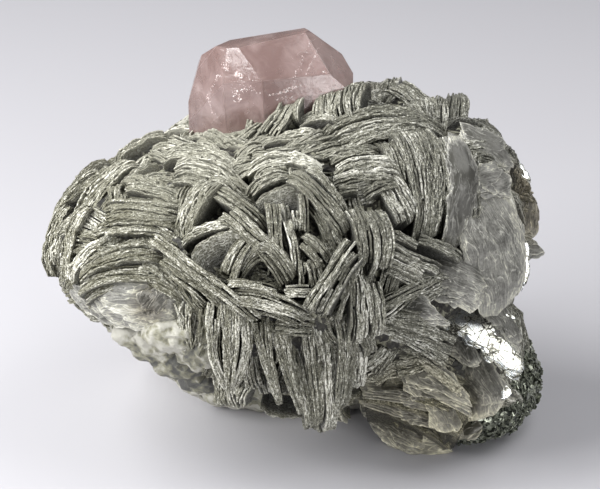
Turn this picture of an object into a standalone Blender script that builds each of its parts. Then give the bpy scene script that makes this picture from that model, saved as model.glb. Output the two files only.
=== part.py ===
"""Morganite specimen: a pink beryl crystal on a rosette of muscovite mica books, with albite and dark mica under it.

Four solids. The mica books grew through each other, so they are one solid. The crystal, the albite and the
dark mica are other minerals, and each keeps a thin gap to what it grew against. Lengths are millimetres until
the last step, which scales each solid to metres. The origin is on the flat foot of the albite, +Z is up, +X is
to the right and +Y is away from the front of the specimen.
"""

import math
import random
from typing import NamedTuple

import bmesh
import bpy
from mathutils import Matrix, Vector, noise

MM = 0.001
GAP = 0.3
SPECIMEN_WIDTH = 90.0

# The front of the specimen is laid out on sight lines: a point is given by the pixel of the photograph at which
# it is seen. The specimen's width spans 511 pixels, which gives the size of one pixel.
PHOTO_CENTRE = (300.0, 244.5)
WIDTH_IN_PIXELS = 511.0
MM_PER_PIXEL = SPECIMEN_WIDTH / WIDTH_IN_PIXELS
SIGHT_ELEVATION = math.radians(25)
SIGHT_DISTANCE = 420.0
SIGHT_CENTRE = Vector((0, -14, 36))
RIGHT = Vector((1, 0, 0))
UP = Vector((0, math.sin(SIGHT_ELEVATION), math.cos(SIGHT_ELEVATION)))
TOWARD = Vector((0, -math.cos(SIGHT_ELEVATION), math.sin(SIGHT_ELEVATION)))
EYE = SIGHT_CENTRE + TOWARD * SIGHT_DISTANCE


class Lobe(NamedTuple):
    """An ellipsoid of the smooth form that the mica books stand on."""

    centre: tuple
    radii: tuple


class Book(NamedTuple):
    """A stack of mica leaves, seen on edge: the two ends of its edge are photograph pixels, the rest millimetres.

    thick is across the leaves, at the start and at the end. bow curves the edge to the left of the way from
    start to end. lift raises it from the form. turn, in degrees, tips it so that its right-hand face shows.
    reach is how deep the leaves go in.
    """

    name: str
    start: tuple
    end: tuple
    thick: tuple
    bow: float = 0.0
    lift: float = 2.5
    turn: float = 8.0
    reach: float = 8.0


class Plate(NamedTuple):
    """Mica leaves seen flat: an outline in photograph pixels. lean tips the face to the right and up."""

    name: str
    outline: tuple
    lift: float
    lean: tuple
    reach: float = 5.0


class Lump(NamedTuple):
    """A lumpy mineral mass: an ellipsoid, turned about the vertical, with rounded lumps raised on it."""

    centre: tuple
    radii: tuple
    turn: float
    lump_size: float
    lump_height: float


# The smooth form. A book stands out from it by its lift.
LOBES = {
    "dome": Lobe((-2, -9, 31.5), (38, 30, 23)),
    "foot": Lobe((25, -13, 14.5), (15, 17, 14)),
    "right": Lobe((29, -6, 38), (11, 20, 16)),
    "left": Lobe((-28, -10, 34), (15, 22, 13)),
    "crest": Lobe((14, 3, 45), (17, 16, 12)),
    "shoulder": Lobe((-5, 12, 39), (21, 13, 12)),
    "brow": Lobe((-2, -26, 22), (17, 10, 12)),
}

# The underside of the rosette slopes up to the left, clear of the albite: three points of that slope.
UNDERSIDE = ((-38, -14, 24), (-15, -32, 18), (-12, -5, 8))

# The albite spreads under the rosette and is cut flat at the foot. Its left flank slopes in to that foot.
ALBITE = Lump((-6, 0, 13), (30, 19, 15), -14, 9.0, 2.4)
ALBITE_FLANK = ((-34, 0, 14.5), (-17.6, 0, 0), (-17.6, -10, 2))
# Inside the rosette it ends at this slope, so that the rosette's underside has no deep hollow.
ALBITE_TOP = ((-36, 0, 21), (12, 0, 16), (-12, 20, 20.5))
# The dark mica is a crust of small scales at the lower right.
DARK_MICA = Lump((30, -10, 8), (13.5, 17, 10), 0, 3.2, 1.3)
# Inside the foot of the rosette it ends at this slope.
DARK_MICA_INSIDE = ((21, -10, 2), (33, -10, 17), (21, 10, 2))

# The crystal's corners: photograph pixel, and millimetres towards the viewer from the crystal's middle.
CRYSTAL_CENTRE = Vector((-5, 4, 59.6))
CRYSTAL_CORNERS = {
    "front_top_left": (232, 49, 8.5),
    "front_top_right": (303, 34, 7.0),
    "front_low_left": (262, 81, 9.3),
    "front_low_right": (330, 74, 7.6),
    "left_middle": (223, 84, 5.4),
    "left_top": (205, 60, 1.6),
    "left_low": (211, 90, 2.6),
    "left_foot": (214, 120, 1.0),
    "far_left_top": (201, 56, -1.0),
    "far_left": (190, 96, -3.0),
    "far_left_back": (199, 60, -8.0),
    "foot_left": (234, 122, 5.0),
    "foot_right": (300, 112, 6.4),
    "top_left": (230, 40, 2.0),
    "top_right": (304, 28, 1.0),
    "top_back": (262, 35, -9.0),
    "right_top": (342, 54, 1.5),
    "right_top_back": (318, 40, -8.0),
    "right_tip": (352, 71, 2.5),
    "right_tip_back": (345, 66, -8.0),
    "back_left": (215, 60, -10.0),
    "back_left_foot": (200, 115, -11.5),
    "back_right": (326, 60, -10.5),
    "back_right_foot": (330, 115, -12.5),
    "left_wall": (188, 104, -3.0),
    "left_wall_foot": (188, 130, -2.0),
    "left_wall_back": (191, 118, -9.0),
    "right_wall": (353, 78, 2.5),
    "right_wall_foot": (350, 120, 2.0),
    "right_wall_back": (349, 90, -8.0),
    "sole_left": (200, 152, 0.0),
    "sole_right": (330, 146, 0.0),
    "sole_back": (262, 150, -10.0),
}
CRYSTAL_FACES = {
    "front": ("front_top_left", "front_low_left", "front_low_right"),
    "diagonal": ("front_top_left", "front_low_left", "left_middle"),
    "lower_front": ("front_low_left", "left_middle", "foot_left"),
    "lower_right": ("front_low_left", "front_low_right", "foot_right"),
    "upper_left": ("front_top_left", "left_middle", "left_top"),
    "left": ("left_top", "left_low", "far_left"),
    "left_foot": ("left_low", "left_middle", "left_foot"),
    "far_left": ("far_left_top", "far_left", "far_left_back"),
    "left_bevel": ("far_left_top", "top_left", "far_left_back"),
    "top_bevel": ("front_top_left", "front_top_right", "top_left"),
    "top": ("top_left", "top_right", "top_back"),
    "right": ("front_top_right", "front_low_right", "right_top"),
    "upper_right": ("top_right", "right_top", "right_top_back"),
    "far_right": ("right_top", "right_tip", "right_tip_back"),
    "left_wall": ("left_wall", "left_wall_foot", "left_wall_back"),
    "right_wall": ("right_wall", "right_wall_foot", "right_wall_back"),
    "back_left": ("far_left_back", "back_left", "back_left_foot"),
    "back": ("back_left", "back_right", "back_left_foot"),
    "back_right": ("back_right", "right_tip_back", "back_right_foot"),
    "sole": ("sole_left", "sole_right", "sole_back"),
}

BOOKS = (
    # Left wing, low: three curved bands whose lowest shows its face.
    Book("wing_top", (76, 270), (166, 252), (2.6, 2.6), 1.5, 2.5, 20),
    Book("wing_middle", (78, 284), (182, 280), (2.6, 2.6), 1.6, 2.2, 15),
    Book("wing_low", (84, 294), (165, 288), (1.8, 1.8), 1.2, 1.8, 62, 6),
    Book("wing_under", (58, 288), (105, 322), (1.0, 1.0), -1.0, 1.0, -60, 6),
    # Left rim, running up to the crystal.
    Book("rim_outer", (42, 275), (62, 200), (2.4, 2.4), 1.0, 1.5),
    Book("rim_upper", (56, 212), (98, 168), (2.4, 2.4), 0.8, 1.5),
    Book("rim_long", (60, 284), (80, 200), (2.2, 2.2), 1.0, 2.5),
    Book("rim_long_upper", (74, 215), (130, 155), (2.6, 2.6), 1.0, 2.2),
    Book("rim_inner", (64, 283), (98, 240), (1.8, 1.8), 0.9, 2.6),
    Book("rim_smooth", (88, 215), (150, 152), (3.0, 3.0), 0.6, 1.8, 45),
    Book("rim_top", (112, 158), (162, 128), (2.6, 2.6), 0.8, 1.2, 20),
    Book("pouch", (84, 256), (152, 236), (2.0, 2.0), 1.0, 2.0, 55, 5),
    # Left middle: a fan of ragged bands.
    Book("fan_a", (122, 182), (182, 196), (2.0, 2.0), 0.2, 3.0),
    Book("fan_b", (99, 203), (182, 206), (1.8, 1.8), 0.3, 3.2),
    Book("fan_c", (101, 214), (180, 221), (2.4, 2.4), 0.5, 2.8),
    Book("fan_d", (103, 227), (174, 233), (1.8, 1.8), 0.6, 2.4),
    Book("recess", (140, 176), (182, 176), (2.0, 2.0), 0.4, 0.5, 30),
    # Upper left: the pale books that catch the light.
    Book("pale_top", (163, 124), (216, 130), (2.4, 2.4), 1.2, 2.0, 20),
    Book("pale_upper", (164, 148), (238, 167), (3.0, 3.0), 2.0, 3.0, 15, 9),
    Book("pale_lower", (172, 162), (236, 180), (3.2, 3.2), 1.4, 3.2, 10),
    Book("pale_base", (174, 175), (206, 184), (2.0, 2.0), 0.4, 2.4),
    Book("saddle_left", (208, 128), (238, 152), (2.2, 2.2), 0.6, 1.2, 20),
    Book("saddle_dark", (218, 138), (246, 130), (2.2, 2.2), 0.6, 0.8, 30),
    Book("saddle_right", (236, 156), (262, 140), (2.0, 2.0), 0.4, 1.6),
    # Left of the middle.
    Book("leaning", (177, 232), (209, 176), (3.6, 3.6), 0.5, 4.0, 25, 9),
    Book("leaning_ridge", (213, 174), (236, 190), (1.4, 1.4), 0.5, 3.8),
    Book("leaning_back", (216, 186), (268, 228), (2.2, 2.2), 0.0, 3.2),
    Book("pillow_left", (176, 238), (238, 219), (1.8, 1.8), 1.0, 4.0, 20, 6),
    Book("pillow_left_low", (186, 248), (246, 223), (1.6, 1.6), 1.4, 3.8, 58, 7),
    Book("arch_left", (224, 277), (247, 236), (2.8, 2.8), 0.4, 3.4, 10),
    Book("arch_right", (226, 208), (292, 278), (3.2, 3.2), 0.5, 3.6),
    Book("arch_inner", (236, 284), (290, 286), (3.0, 3.0), 5.5, 2.4, 0, 7),
    Book("diagonal", (150, 236), (258, 318), (2.0, 2.0), 0.0, 5.0, 5),
    Book("diagonal_head", (148, 240), (178, 249), (2.2, 1.6), 0.4, 4.4),
    Book("diagonal_under", (162, 254), (224, 300), (2.8, 2.8), 0.3, 3.8),
    Book("diagonal_low", (172, 272), (206, 299), (2.0, 2.0), 0.2, 3.0),
    Book("slat_top", (224, 282), (278, 290), (1.4, 1.4), 0.3, 4.2),
    Book("slat", (228, 294), (306, 316), (3.0, 3.0), 0.8, 3.8),
    Book("slat_block", (280, 292), (314, 290), (1.8, 1.8), 0.2, 3.0),
    # Posts in the middle.
    Book("post_a", (273, 200), (277, 272), (2.0, 2.0), 0.2, 3.2),
    Book("post_b", (287, 216), (297, 272), (1.4, 1.4), 0.2, 3.0),
    Book("post_c", (304, 188), (305, 232), (1.4, 1.4), 0.1, 3.6),
    Book("post_d", (297, 204), (299, 232), (1.2, 1.2), 0.0, 2.6),
    Book("post_slant", (300, 236), (330, 264), (2.4, 2.4), 0.3, 3.4),
    Book("post_e", (304, 260), (306, 289), (1.4, 1.4), 0.0, 3.0),
    Book("post_f", (310, 256), (320, 286), (1.8, 1.8), 0.1, 2.8),
    Book("shade_a", (316, 200), (344, 262), (3.0, 3.0), 0.0, 1.2),
    Book("shade_b", (322, 238), (344, 284), (2.4, 2.4), 0.0, 1.2),
    # Above the middle, up to the foot of the crystal.
    Book("pillow", (250, 197), (298, 178), (1.4, 1.4), 0.8, 3.2, 60, 7),
    Book("pillow_top", (246, 189), (290, 171), (2.0, 2.0), 0.8, 3.0, 15),
    Book("brow_low", (254, 173), (290, 165), (1.6, 1.6), 0.8, 2.8, 20),
    Book("brow_arc", (247, 163), (326, 169), (2.4, 2.4), 2.6, 2.4, 15),
    Book("crystal_post", (254, 114), (251, 144), (2.4, 2.4), 0.0, 2.0),
    Book("round_leaf", (266, 134), (306, 98), (1.6, 1.6), 1.6, 2.4, 60, 6),
    Book("slab", (268, 140), (320, 125), (1.8, 1.8), 0.8, 2.8, 20),
    Book("slab_low", (284, 143), (322, 133), (2.0, 2.0), 0.4, 2.2, 30),
    Book("small_fan", (302, 108), (320, 122), (1.8, 1.8), 0.2, 2.8),
    Book("right_of_crystal_a", (320, 112), (326, 86), (1.6, 1.6), 0.0, 2.2),
    Book("right_of_crystal_b", (332, 108), (336, 88), (1.8, 1.8), 0.0, 2.2),
    Book("top_block", (343, 91), (372, 89), (1.0, 1.0), 0.3, 2.0, 60, 4),
    Book("top_post_a", (378, 100), (378, 77), (2.2, 2.2), 0.0, 2.0),
    Book("top_post_b", (391, 100), (389, 77), (2.2, 2.2), 0.0, 2.2),
    Book("top_back", (400, 93), (434, 94), (3.0, 3.0), 0.8, 0.6, 30),
    Book("top_chip", (402, 98), (414, 108), (1.0, 1.0), 0.0, 2.6),
    Book("top_right_a", (428, 114), (426, 95), (1.8, 1.8), 0.0, 2.2),
    Book("top_right_b", (442, 114), (444, 93), (2.2, 2.2), 0.0, 2.0),
    Book("top_right_tip", (455, 138), (461, 87), (3.4, 3.0), -0.3, 2.2),
    # Right of the middle: the big arch, the shelves, the uprights.
    Book("big_arch", (320, 132), (446, 124), (3.6, 2.6), 3.4, 4.0, 10, 10),
    Book("big_arch_inner", (326, 146), (436, 122), (4.4, 2.4), 1.0, 3.4, 5),
    Book("shelf_a", (314, 151), (378, 149), (1.4, 1.4), 0.3, 2.8),
    Book("shelf_b", (328, 156), (380, 147), (1.6, 1.6), 0.5, 3.0),
    Book("shelf_c", (335, 168), (402, 163), (2.8, 2.8), 0.8, 3.8, 5),
    Book("shelf_d", (334, 178), (396, 174), (1.8, 1.8), 0.3, 3.4),
    Book("shelf_e", (335, 188), (361, 184), (1.4, 1.4), 0.1, 3.8),
    Book("shelf_f", (362, 192), (397, 177), (2.4, 2.4), 0.2, 2.8),
    Book("upright_left", (392, 136), (412, 206), (2.6, 2.2), 0.0, 4.2),
    Book("upright", (416, 127), (428, 234), (6.0, 4.2), 1.4, 5.0, 0, 9),
    Book("upright_right", (437, 140), (441, 228), (1.6, 1.6), 0.6, 3.6),
    Book("shadow_leaves", (388, 180), (422, 230), (5.0, 4.2), 0.0, 2.2),
    Book("barrel_left", (356, 206), (366, 264), (2.6, 2.2), 0.5, 4.4),
    Book("barrel", (374, 205), (382, 271), (3.4, 2.8), 1.2, 4.8),
    Book("cross_bright", (307, 306), (351, 239), (1.6, 1.6), 0.0, 6.0),
    Book("cross", (314, 314), (353, 250), (2.6, 2.6), 0.0, 5.2, 20),
    Book("long_right", (292, 168), (350, 232), (2.8, 2.8), 0.3, 4.0),
    Book("long_right_blade", (313, 164), (348, 210), (1.2, 1.2), 0.2, 4.6),
    Book("under_cross", (330, 316), (352, 262), (3.0, 3.0), 0.0, 3.0),
    Book("column_a", (357, 262), (358, 345), (2.2, 2.2), 0.0, 3.2),
    Book("column_b", (372, 280), (376, 338), (3.2, 2.6), 0.3, 4.0),
    Book("cave_top", (388, 230), (420, 244), (1.4, 1.4), 0.0, 2.8),
    Book("cave_lintel", (420, 236), (466, 258), (1.6, 1.6), 0.3, 3.0),
    Book("cave_sill", (388, 242), (446, 268), (2.0, 2.0), -0.5, 3.4),
    Book("cave_sill_low", (388, 256), (428, 276), (2.0, 2.0), 0.0, 3.2),
    Book("cave_base", (388, 266), (426, 284), (1.6, 1.6), 0.0, 2.8),
    Book("cave_leaves", (386, 300), (394, 268), (3.0, 3.0), 0.0, 1.6),
    Book("low_slats", (382, 306), (426, 285), (2.2, 2.2), 0.2, 3.0),
    Book("low_slat_edge", (383, 318), (404, 301), (1.0, 1.0), 0.0, 2.8),
    # Lower right fan and its round leaf.
    Book("foot_fan", (384, 319), (458, 348), (1.6, 6.0), 0.3, 3.2, 15),
    Book("foot_fan_low", (384, 334), (468, 378), (1.2, 3.0), 0.5, 3.2, 20),
    Book("foot_lens", (394, 362), (476, 410), (1.2, 1.2), 2.0, 3.0, 58, 9),
    Book("foot_leaves", (362, 404), (450, 442), (5.0, 4.0), 0.5, 1.6, 30, 9),
    Book("foot_edge", (362, 420), (436, 458), (3.0, 3.0), 0.3, 2.0, 10, 8),
    # The books that hang at the front.
    Book("hang_olive", (206, 308), (203, 350), (2.0, 1.4), 0.0, 2.6),
    Book("hang_bright", (221, 302), (215, 388), (2.6, 1.2), -0.5, 4.4),
    Book("hang_middle", (233, 306), (227, 394), (3.0, 1.4), 0.0, 4.2),
    Book("hang_right", (246, 316), (237, 388), (2.4, 1.2), 0.3, 3.8),
    Book("hang_grey", (261, 322), (283, 412), (2.4, 1.8), 0.0, 3.6),
    Book("hang_pale", (277, 326), (304, 422), (2.4, 1.8), 0.0, 4.0),
    Book("hang_inner", (291, 332), (311, 428), (2.4, 1.8), 0.0, 3.6),
    Book("hang_column_a", (314, 330), (318, 432), (2.4, 2.0), 0.0, 4.4),
    Book("hang_column_b", (331, 322), (332, 434), (3.4, 3.0), 0.2, 4.6),
    Book("hang_column_c", (348, 318), (346, 412), (3.6, 3.0), 0.3, 4.0),
    Book("hang_column_d", (363, 340), (358, 392), (2.4, 2.0), 0.0, 2.8),
    # Right side, seen from its flank.
    Book("flank_a", (446, 136), (452, 232), (2.6, 2.6), 0.2, 2.0),
    Book("flank_b", (458, 144), (474, 246), (3.4, 3.4), 0.4, 1.8),
    Book("flank_block", (460, 152), (498, 154), (4.0, 4.0), 0.6, 1.4),
    Book("flank_far", (506, 206), (540, 208), (7.0, 6.0), 0.5, 1.0),
    Book("flank_crest", (508, 163), (536, 187), (1.6, 1.6), 0.2, 2.0),
)

PLATES = (
    Plate("flank_face", ((470, 172), (500, 165), (514, 192), (528, 240), (530, 286), (514, 312),
                         (498, 318), (472, 258), (464, 222)), 2.2, (0.35, 0.1), 6),
    Plate("flank_tip", ((526, 234), (535, 238), (547, 252), (528, 258)), 0.6, (0.3, 0.2), 4),
    Plate("grey_face", ((430, 262), (468, 262), (484, 290), (528, 346), (505, 340), (446, 304),
                        (428, 285)), 1.6, (0.3, 0.5), 6),
    Plate("mirror_face", ((446, 307), (480, 318), (522, 360), (520, 377), (500, 372), (462, 338)),
          2.6, (0.35, 0.65), 4),
    Plate("dark_strip", ((418, 314), (448, 318), (470, 350), (508, 396), (492, 398), (452, 350)),
          2.2, (-0.1, 0.5), 5),
    Plate("foot_face", ((458, 356), (478, 362), (508, 398), (478, 410), (462, 385)), 1.6, (0.2, 0.1), 5),
    Plate("foot_tip", ((400, 446), (440, 444), (452, 456), (424, 463), (408, 457)), 1.0, (0.0, 0.0), 5),
)

# How every book is shaped. Its edge turns from the form's outward direction towards the viewer by this share.
TURN_TO_VIEWER = 1.1
# Inside, a book is thinner and shorter than at its edge and bows less, and its edge drops away at both ends.
ROOT_THINNER = 0.45
ROOT_SHORTER = 0.12
ROOT_STRAIGHTER = 0.3
END_DROP = 0.22
# A bowed book has two cuts across it, a straight one has one. Places along the book run from -1 to 1.
LEAST_BOW = 0.3
BOWED_CUTS = (-0.55, 0.55)
STRAIGHT_CUTS = (0.1,)

# The sides that the photograph doesn't show carry plainer books, spread at random.
BACK_SEED = 7
BACK_BOOKS = 46
BACK_LENGTH = (11, 18)
BACK_THICK = (3.5, 6.5)
BACK_BOW = (-1.2, 1.2)
BACK_LIFT = (0.8, 2.4)
BACK_SPACING = 6.5
BACK_CUTS = (0,)
# They stand where the form faces away from the viewer, above this height, and not straight down.
BACK_FACING = -0.08
BACK_LOWEST = 6
BACK_STEEPEST = -0.75

# Base colour (linear) and roughness.
MATERIALS = {
    "muscovite_rosette": ((0.36, 0.37, 0.31), 0.35),
    "morganite_crystal": ((0.78, 0.45, 0.43), 0.1),
    "albite_matrix": ((0.62, 0.61, 0.55), 0.7),
    "dark_mica_crust": ((0.07, 0.08, 0.07), 0.4),
}


def sight(pixel):
    """The direction from the eye to the point that is seen at a pixel of the photograph."""
    across = (pixel[0] - PHOTO_CENTRE[0]) * MM_PER_PIXEL
    above = (PHOTO_CENTRE[1] - pixel[1]) * MM_PER_PIXEL
    return (SIGHT_CENTRE + RIGHT * across + UP * above - EYE).normalized()


def scaled(vector, radii):
    return Vector(c / r for c, r in zip(vector, radii))


def on_form(pixel):
    """Where the sight line meets the lobes, or else passes nearest to one, and the form's outward direction there."""
    ray = sight(pixel)
    met, missed = [], []
    for lobe in LOBES.values():
        start = scaled(EYE - Vector(lobe.centre), lobe.radii)
        step = scaled(ray, lobe.radii)
        nearest = -start.dot(step) / step.length_squared
        depth = 1 - (start + step * nearest).length_squared
        if depth > 0:
            met.append((nearest - math.sqrt(depth / step.length_squared), lobe))
        else:
            missed.append((-depth, nearest, lobe))
    if met:
        distance, lobe = min(met, key=lambda hit: hit[0])
    else:
        _, distance, lobe = min(missed, key=lambda miss: miss[0])
    point = EYE + ray * distance
    normal = scaled(scaled(point - Vector(lobe.centre), lobe.radii), lobe.radii).normalized()
    return point, normal


def on_plane(pixel, point, normal):
    """Where the sight line of a pixel meets a plane."""
    ray = sight(pixel)
    return EYE + ray * ((point - EYE).dot(normal) / ray.dot(normal))


def book_place(book):
    """The middle of a book's edge, its half length, and its directions along, outward and across the leaves."""
    centre = ((book.start[0] + book.end[0]) / 2, (book.start[1] + book.end[1]) / 2)
    point, normal = on_form(centre)
    outward = (normal + TOWARD * TURN_TO_VIEWER).normalized()
    point += outward * book.lift
    start = on_plane(book.start, point, outward)
    end = on_plane(book.end, point, outward)
    along = (end - start).normalized()
    outward = Matrix.Rotation(-math.radians(book.turn), 3, along) @ outward
    return (start + end) / 2, (end - start).length / 2, along, outward, outward.cross(along)


def book_point(place, book, unit):
    """A point of a book from unit coordinates: x from -1 to 1 along, y from 0 at the edge to 1 inside, z -1 to 1."""
    middle, half, along, outward, across = place
    x, y, z = unit
    thick = book.thick[0] + (book.thick[1] - book.thick[0]) * (x + 1) / 2
    side = z * thick / 2 * (1 - ROOT_THINNER * y) + book.bow * (1 - x * x) * (1 - ROOT_STRAIGHTER * y)
    deep = book.reach * y + END_DROP * half * x ** 4
    return middle + along * (x * half * (1 - ROOT_SHORTER * y)) + across * side - outward * deep


def new_object(name, bm):
    bmesh.ops.recalc_face_normals(bm, faces=bm.faces)
    mesh = bpy.data.meshes.new(name)
    bm.to_mesh(mesh)
    bm.free()
    obj = bpy.data.objects.new(name, mesh)
    bpy.context.scene.collection.objects.link(obj)
    return obj


def trim(bm, point, outward):
    """Cuts away what lies beyond a plane, and closes the cut."""
    whole = bm.verts[:] + bm.edges[:] + bm.faces[:]
    cut = bmesh.ops.bisect_plane(bm, geom=whole, plane_co=point, plane_no=outward, clear_outer=True)
    rim = [item for item in cut["geom_cut"] if isinstance(item, bmesh.types.BMEdge)]
    if rim:
        bmesh.ops.contextual_create(bm, geom=rim)


def crystal_solid(name, grow=0.0):
    """The crystal: a big cube trimmed to each of its flat faces in turn. grow moves every face outwards."""
    corners = {
        corner: on_plane((px, py), CRYSTAL_CENTRE + TOWARD * depth, TOWARD)
        for corner, (px, py, depth) in CRYSTAL_CORNERS.items()
    }
    bm = bmesh.new()
    bmesh.ops.create_cube(bm, size=90)
    bmesh.ops.translate(bm, vec=CRYSTAL_CENTRE, verts=bm.verts)
    for names in CRYSTAL_FACES.values():
        point, outward = facing([corners[corner] for corner in names], CRYSTAL_CENTRE)
        trim(bm, point + outward * grow, outward)
    return new_object(name, bm)


def lump_solid(name, lump, grow=0.0):
    """A lumpy mass. The lumps are the cells of a cellular noise, rounded and a little higher in their middles."""
    turn = Matrix.Rotation(math.radians(lump.turn), 3, "Z")
    bm = bmesh.new()
    bmesh.ops.create_icosphere(bm, subdivisions=3, radius=1)
    for vert in bm.verts:
        way = vert.co.copy()
        point = Vector(w * r for w, r in zip(way, lump.radii))
        normal = scaled(way, lump.radii).normalized()
        nearest, second = noise.voronoi(point / lump.lump_size)[0][:2]
        height = lump.lump_height * (min(second - nearest, 0.5) - 0.25 * nearest)
        vert.co = Vector(lump.centre) + turn @ (point + normal * (height + grow))
    return new_object(name, bm)


def block(place, book, cuts):
    """A book as one closed block: a cube, cut across and bent to the book's form."""
    bm = bmesh.new()
    bmesh.ops.create_cube(bm, size=2)
    for x in cuts:
        whole = bm.verts[:] + bm.edges[:] + bm.faces[:]
        bmesh.ops.bisect_plane(bm, geom=whole, plane_co=(x, 0, 0), plane_no=(1, 0, 0))
    for vert in bm.verts:
        x, y, z = vert.co
        vert.co = book_point(place, book, (x, (y + 1) / 2, z))
    return new_object(book.name, bm)


def plate_block(plate):
    """A plate as one closed prism: its outline on a leaning plane, extruded inwards."""
    centre = (
        sum(x for x, _ in plate.outline) / len(plate.outline),
        sum(y for _, y in plate.outline) / len(plate.outline),
    )
    point, _ = on_form(centre)
    normal = (TOWARD + RIGHT * plate.lean[0] + UP * plate.lean[1]).normalized()
    point += normal * plate.lift
    bm = bmesh.new()
    face = bm.faces.new([bm.verts.new(on_plane(pixel, point, normal)) for pixel in plate.outline])
    inner = bmesh.ops.extrude_face_region(bm, geom=[face])["geom"]
    inner = [item for item in inner if isinstance(item, bmesh.types.BMVert)]
    bmesh.ops.translate(bm, verts=inner, vec=-normal * plate.reach)
    return new_object(plate.name, bm)


def facing(points, away_from):
    """A point of the plane through three points, and its normal on the side away from another point."""
    first, second, third = (Vector(point) for point in points)
    outward = (second - first).cross(third - first).normalized()
    if outward.dot(first - away_from) < 0:
        outward.negate()
    return first, outward


def lobe_solid(name, lobe):
    bm = bmesh.new()
    bmesh.ops.create_icosphere(bm, subdivisions=2, radius=1)
    bmesh.ops.scale(bm, vec=lobe.radii, verts=bm.verts)
    bmesh.ops.translate(bm, vec=lobe.centre, verts=bm.verts)
    if name != "foot":
        trim(bm, *facing(UNDERSIDE, Vector(LOBES["dome"].centre)))
    return new_object(name, bm)


def inside_lobes(point, besides):
    """True where a point lies inside a lobe other than the one named."""
    return any(
        scaled(point - Vector(lobe.centre), lobe.radii).length < 1
        for name, lobe in LOBES.items()
        if name != besides
    )


def back_books():
    """Books for the sides that the photograph doesn't show, spread at random over the hidden part of the form."""
    rng = random.Random(BACK_SEED)
    made = []
    while len(made) < BACK_BOOKS:
        name = rng.choice(sorted(LOBES))
        lobe = LOBES[name]
        way = Vector((rng.gauss(0, 1), rng.gauss(0, 1), rng.gauss(0, 1))).normalized()
        point = Vector(c + w * r for c, w, r in zip(lobe.centre, way, lobe.radii))
        normal = scaled(way, lobe.radii).normalized()
        spin = rng.uniform(0, math.pi)
        half = rng.uniform(*BACK_LENGTH) / 2
        thick = rng.uniform(*BACK_THICK)
        bow = rng.uniform(*BACK_BOW)
        lift = rng.uniform(*BACK_LIFT)
        hidden = normal.dot(TOWARD) < BACK_FACING and point.z > BACK_LOWEST and normal.z > BACK_STEEPEST
        if not hidden or inside_lobes(point, name):
            continue
        if any((point - place[0]).length < BACK_SPACING for place, _ in made):
            continue
        along = Matrix.Rotation(spin, 3, normal) @ normal.orthogonal().normalized()
        place = (point + normal * lift, half, along, normal, normal.cross(along))
        made.append((place, Book(f"back_{len(made)}", (0, 0), (0, 0), (thick, thick), bow)))
    return made


def clear_scene():
    for obj in list(bpy.data.objects):
        bpy.data.objects.remove(obj)


def boolean(obj, operation, others):
    """Joins other objects to one, or cuts them from it, and removes them."""
    group = bpy.data.collections.new("operands")
    for other in others:
        group.objects.link(other)
    modifier = obj.modifiers.new(operation.lower(), "BOOLEAN")
    modifier.operation = operation
    modifier.solver = "EXACT"
    modifier.operand_type = "COLLECTION"
    modifier.collection = group
    graph = bpy.context.evaluated_depsgraph_get()
    mesh = bpy.data.meshes.new_from_object(obj.evaluated_get(graph))
    obj.modifiers.clear()
    obj.data = mesh
    for other in others:
        bpy.data.objects.remove(other)
    bpy.data.collections.remove(group)


def loose_pieces(bm):
    """Each group of faces that hang together, as a list."""
    seen = set()
    for first in bm.faces:
        if first in seen:
            continue
        piece = [first]
        seen.add(first)
        for face in piece:
            near = (other for edge in face.edges for other in edge.link_faces if other not in seen)
            for other in near:
                seen.add(other)
                piece.append(other)
        yield piece


def keep_largest(obj):
    """Drops every loose piece but the one with the most faces."""
    bm = bmesh.new()
    bm.from_mesh(obj.data)
    for piece in sorted(loose_pieces(bm), key=len)[:-1]:
        bmesh.ops.delete(bm, geom=piece, context="FACES")
    bm.to_mesh(obj.data)
    bm.free()


def trim_object(obj, point, outward):
    bm = bmesh.new()
    bm.from_mesh(obj.data)
    trim(bm, point, outward)
    bm.to_mesh(obj.data)
    bm.free()


def floor_cutter():
    """A slab that fills everything below the flat foot."""
    bm = bmesh.new()
    bmesh.ops.create_cube(bm, size=200)
    bmesh.ops.translate(bm, vec=(0, 0, -100), verts=bm.verts)
    return new_object("floor", bm)


def trimmed_lump(name, lump, slopes, grow=0.0):
    """A lumpy mass cut off at slopes. grow moves its surface and the cuts outwards."""
    obj = lump_solid(name, lump, grow)
    for slope in slopes:
        point, outward = facing(slope, Vector(lump.centre))
        trim_object(obj, point + outward * grow, outward)
    return obj


def albite_solid(name, grow=0.0):
    return trimmed_lump(name, ALBITE, (ALBITE_FLANK, ALBITE_TOP), grow)


def crust_solid(name, grow=0.0):
    return trimmed_lump(name, DARK_MICA, (DARK_MICA_INSIDE,), grow)


def finish(obj):
    """Scales a solid from millimetres to metres and gives it its material."""
    colour, roughness = MATERIALS[obj.name]
    material = bpy.data.materials.new(obj.name)
    material.use_nodes = True
    shader = material.node_tree.nodes["Principled BSDF"]
    shader.inputs["Base Color"].default_value = (*colour, 1)
    shader.inputs["Roughness"].default_value = roughness
    shader.inputs["Metallic"].default_value = 0
    obj.data.materials.clear()
    obj.data.materials.append(material)
    obj.data.transform(Matrix.Scale(MM, 4))


def grow_rosette():
    """The mica: the lobes and every book and plate joined in one, with room for the other minerals."""
    rosette, *others = [lobe_solid(name, lobe) for name, lobe in LOBES.items()]
    for book in BOOKS:
        cuts = BOWED_CUTS if abs(book.bow) > LEAST_BOW else STRAIGHT_CUTS
        others.append(block(book_place(book), book, cuts))
    others += [plate_block(plate) for plate in PLATES]
    others += [block(place, book, BACK_CUTS) for place, book in back_books()]
    rosette.name = "muscovite_rosette"
    boolean(rosette, "UNION", others)
    rooms = [
        crystal_solid("crystal_room", GAP),
        albite_solid("albite_room", GAP),
        crust_solid("dark_mica_room", GAP),
        floor_cutter(),
    ]
    boolean(rosette, "DIFFERENCE", rooms)
    keep_largest(rosette)
    return rosette


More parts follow.
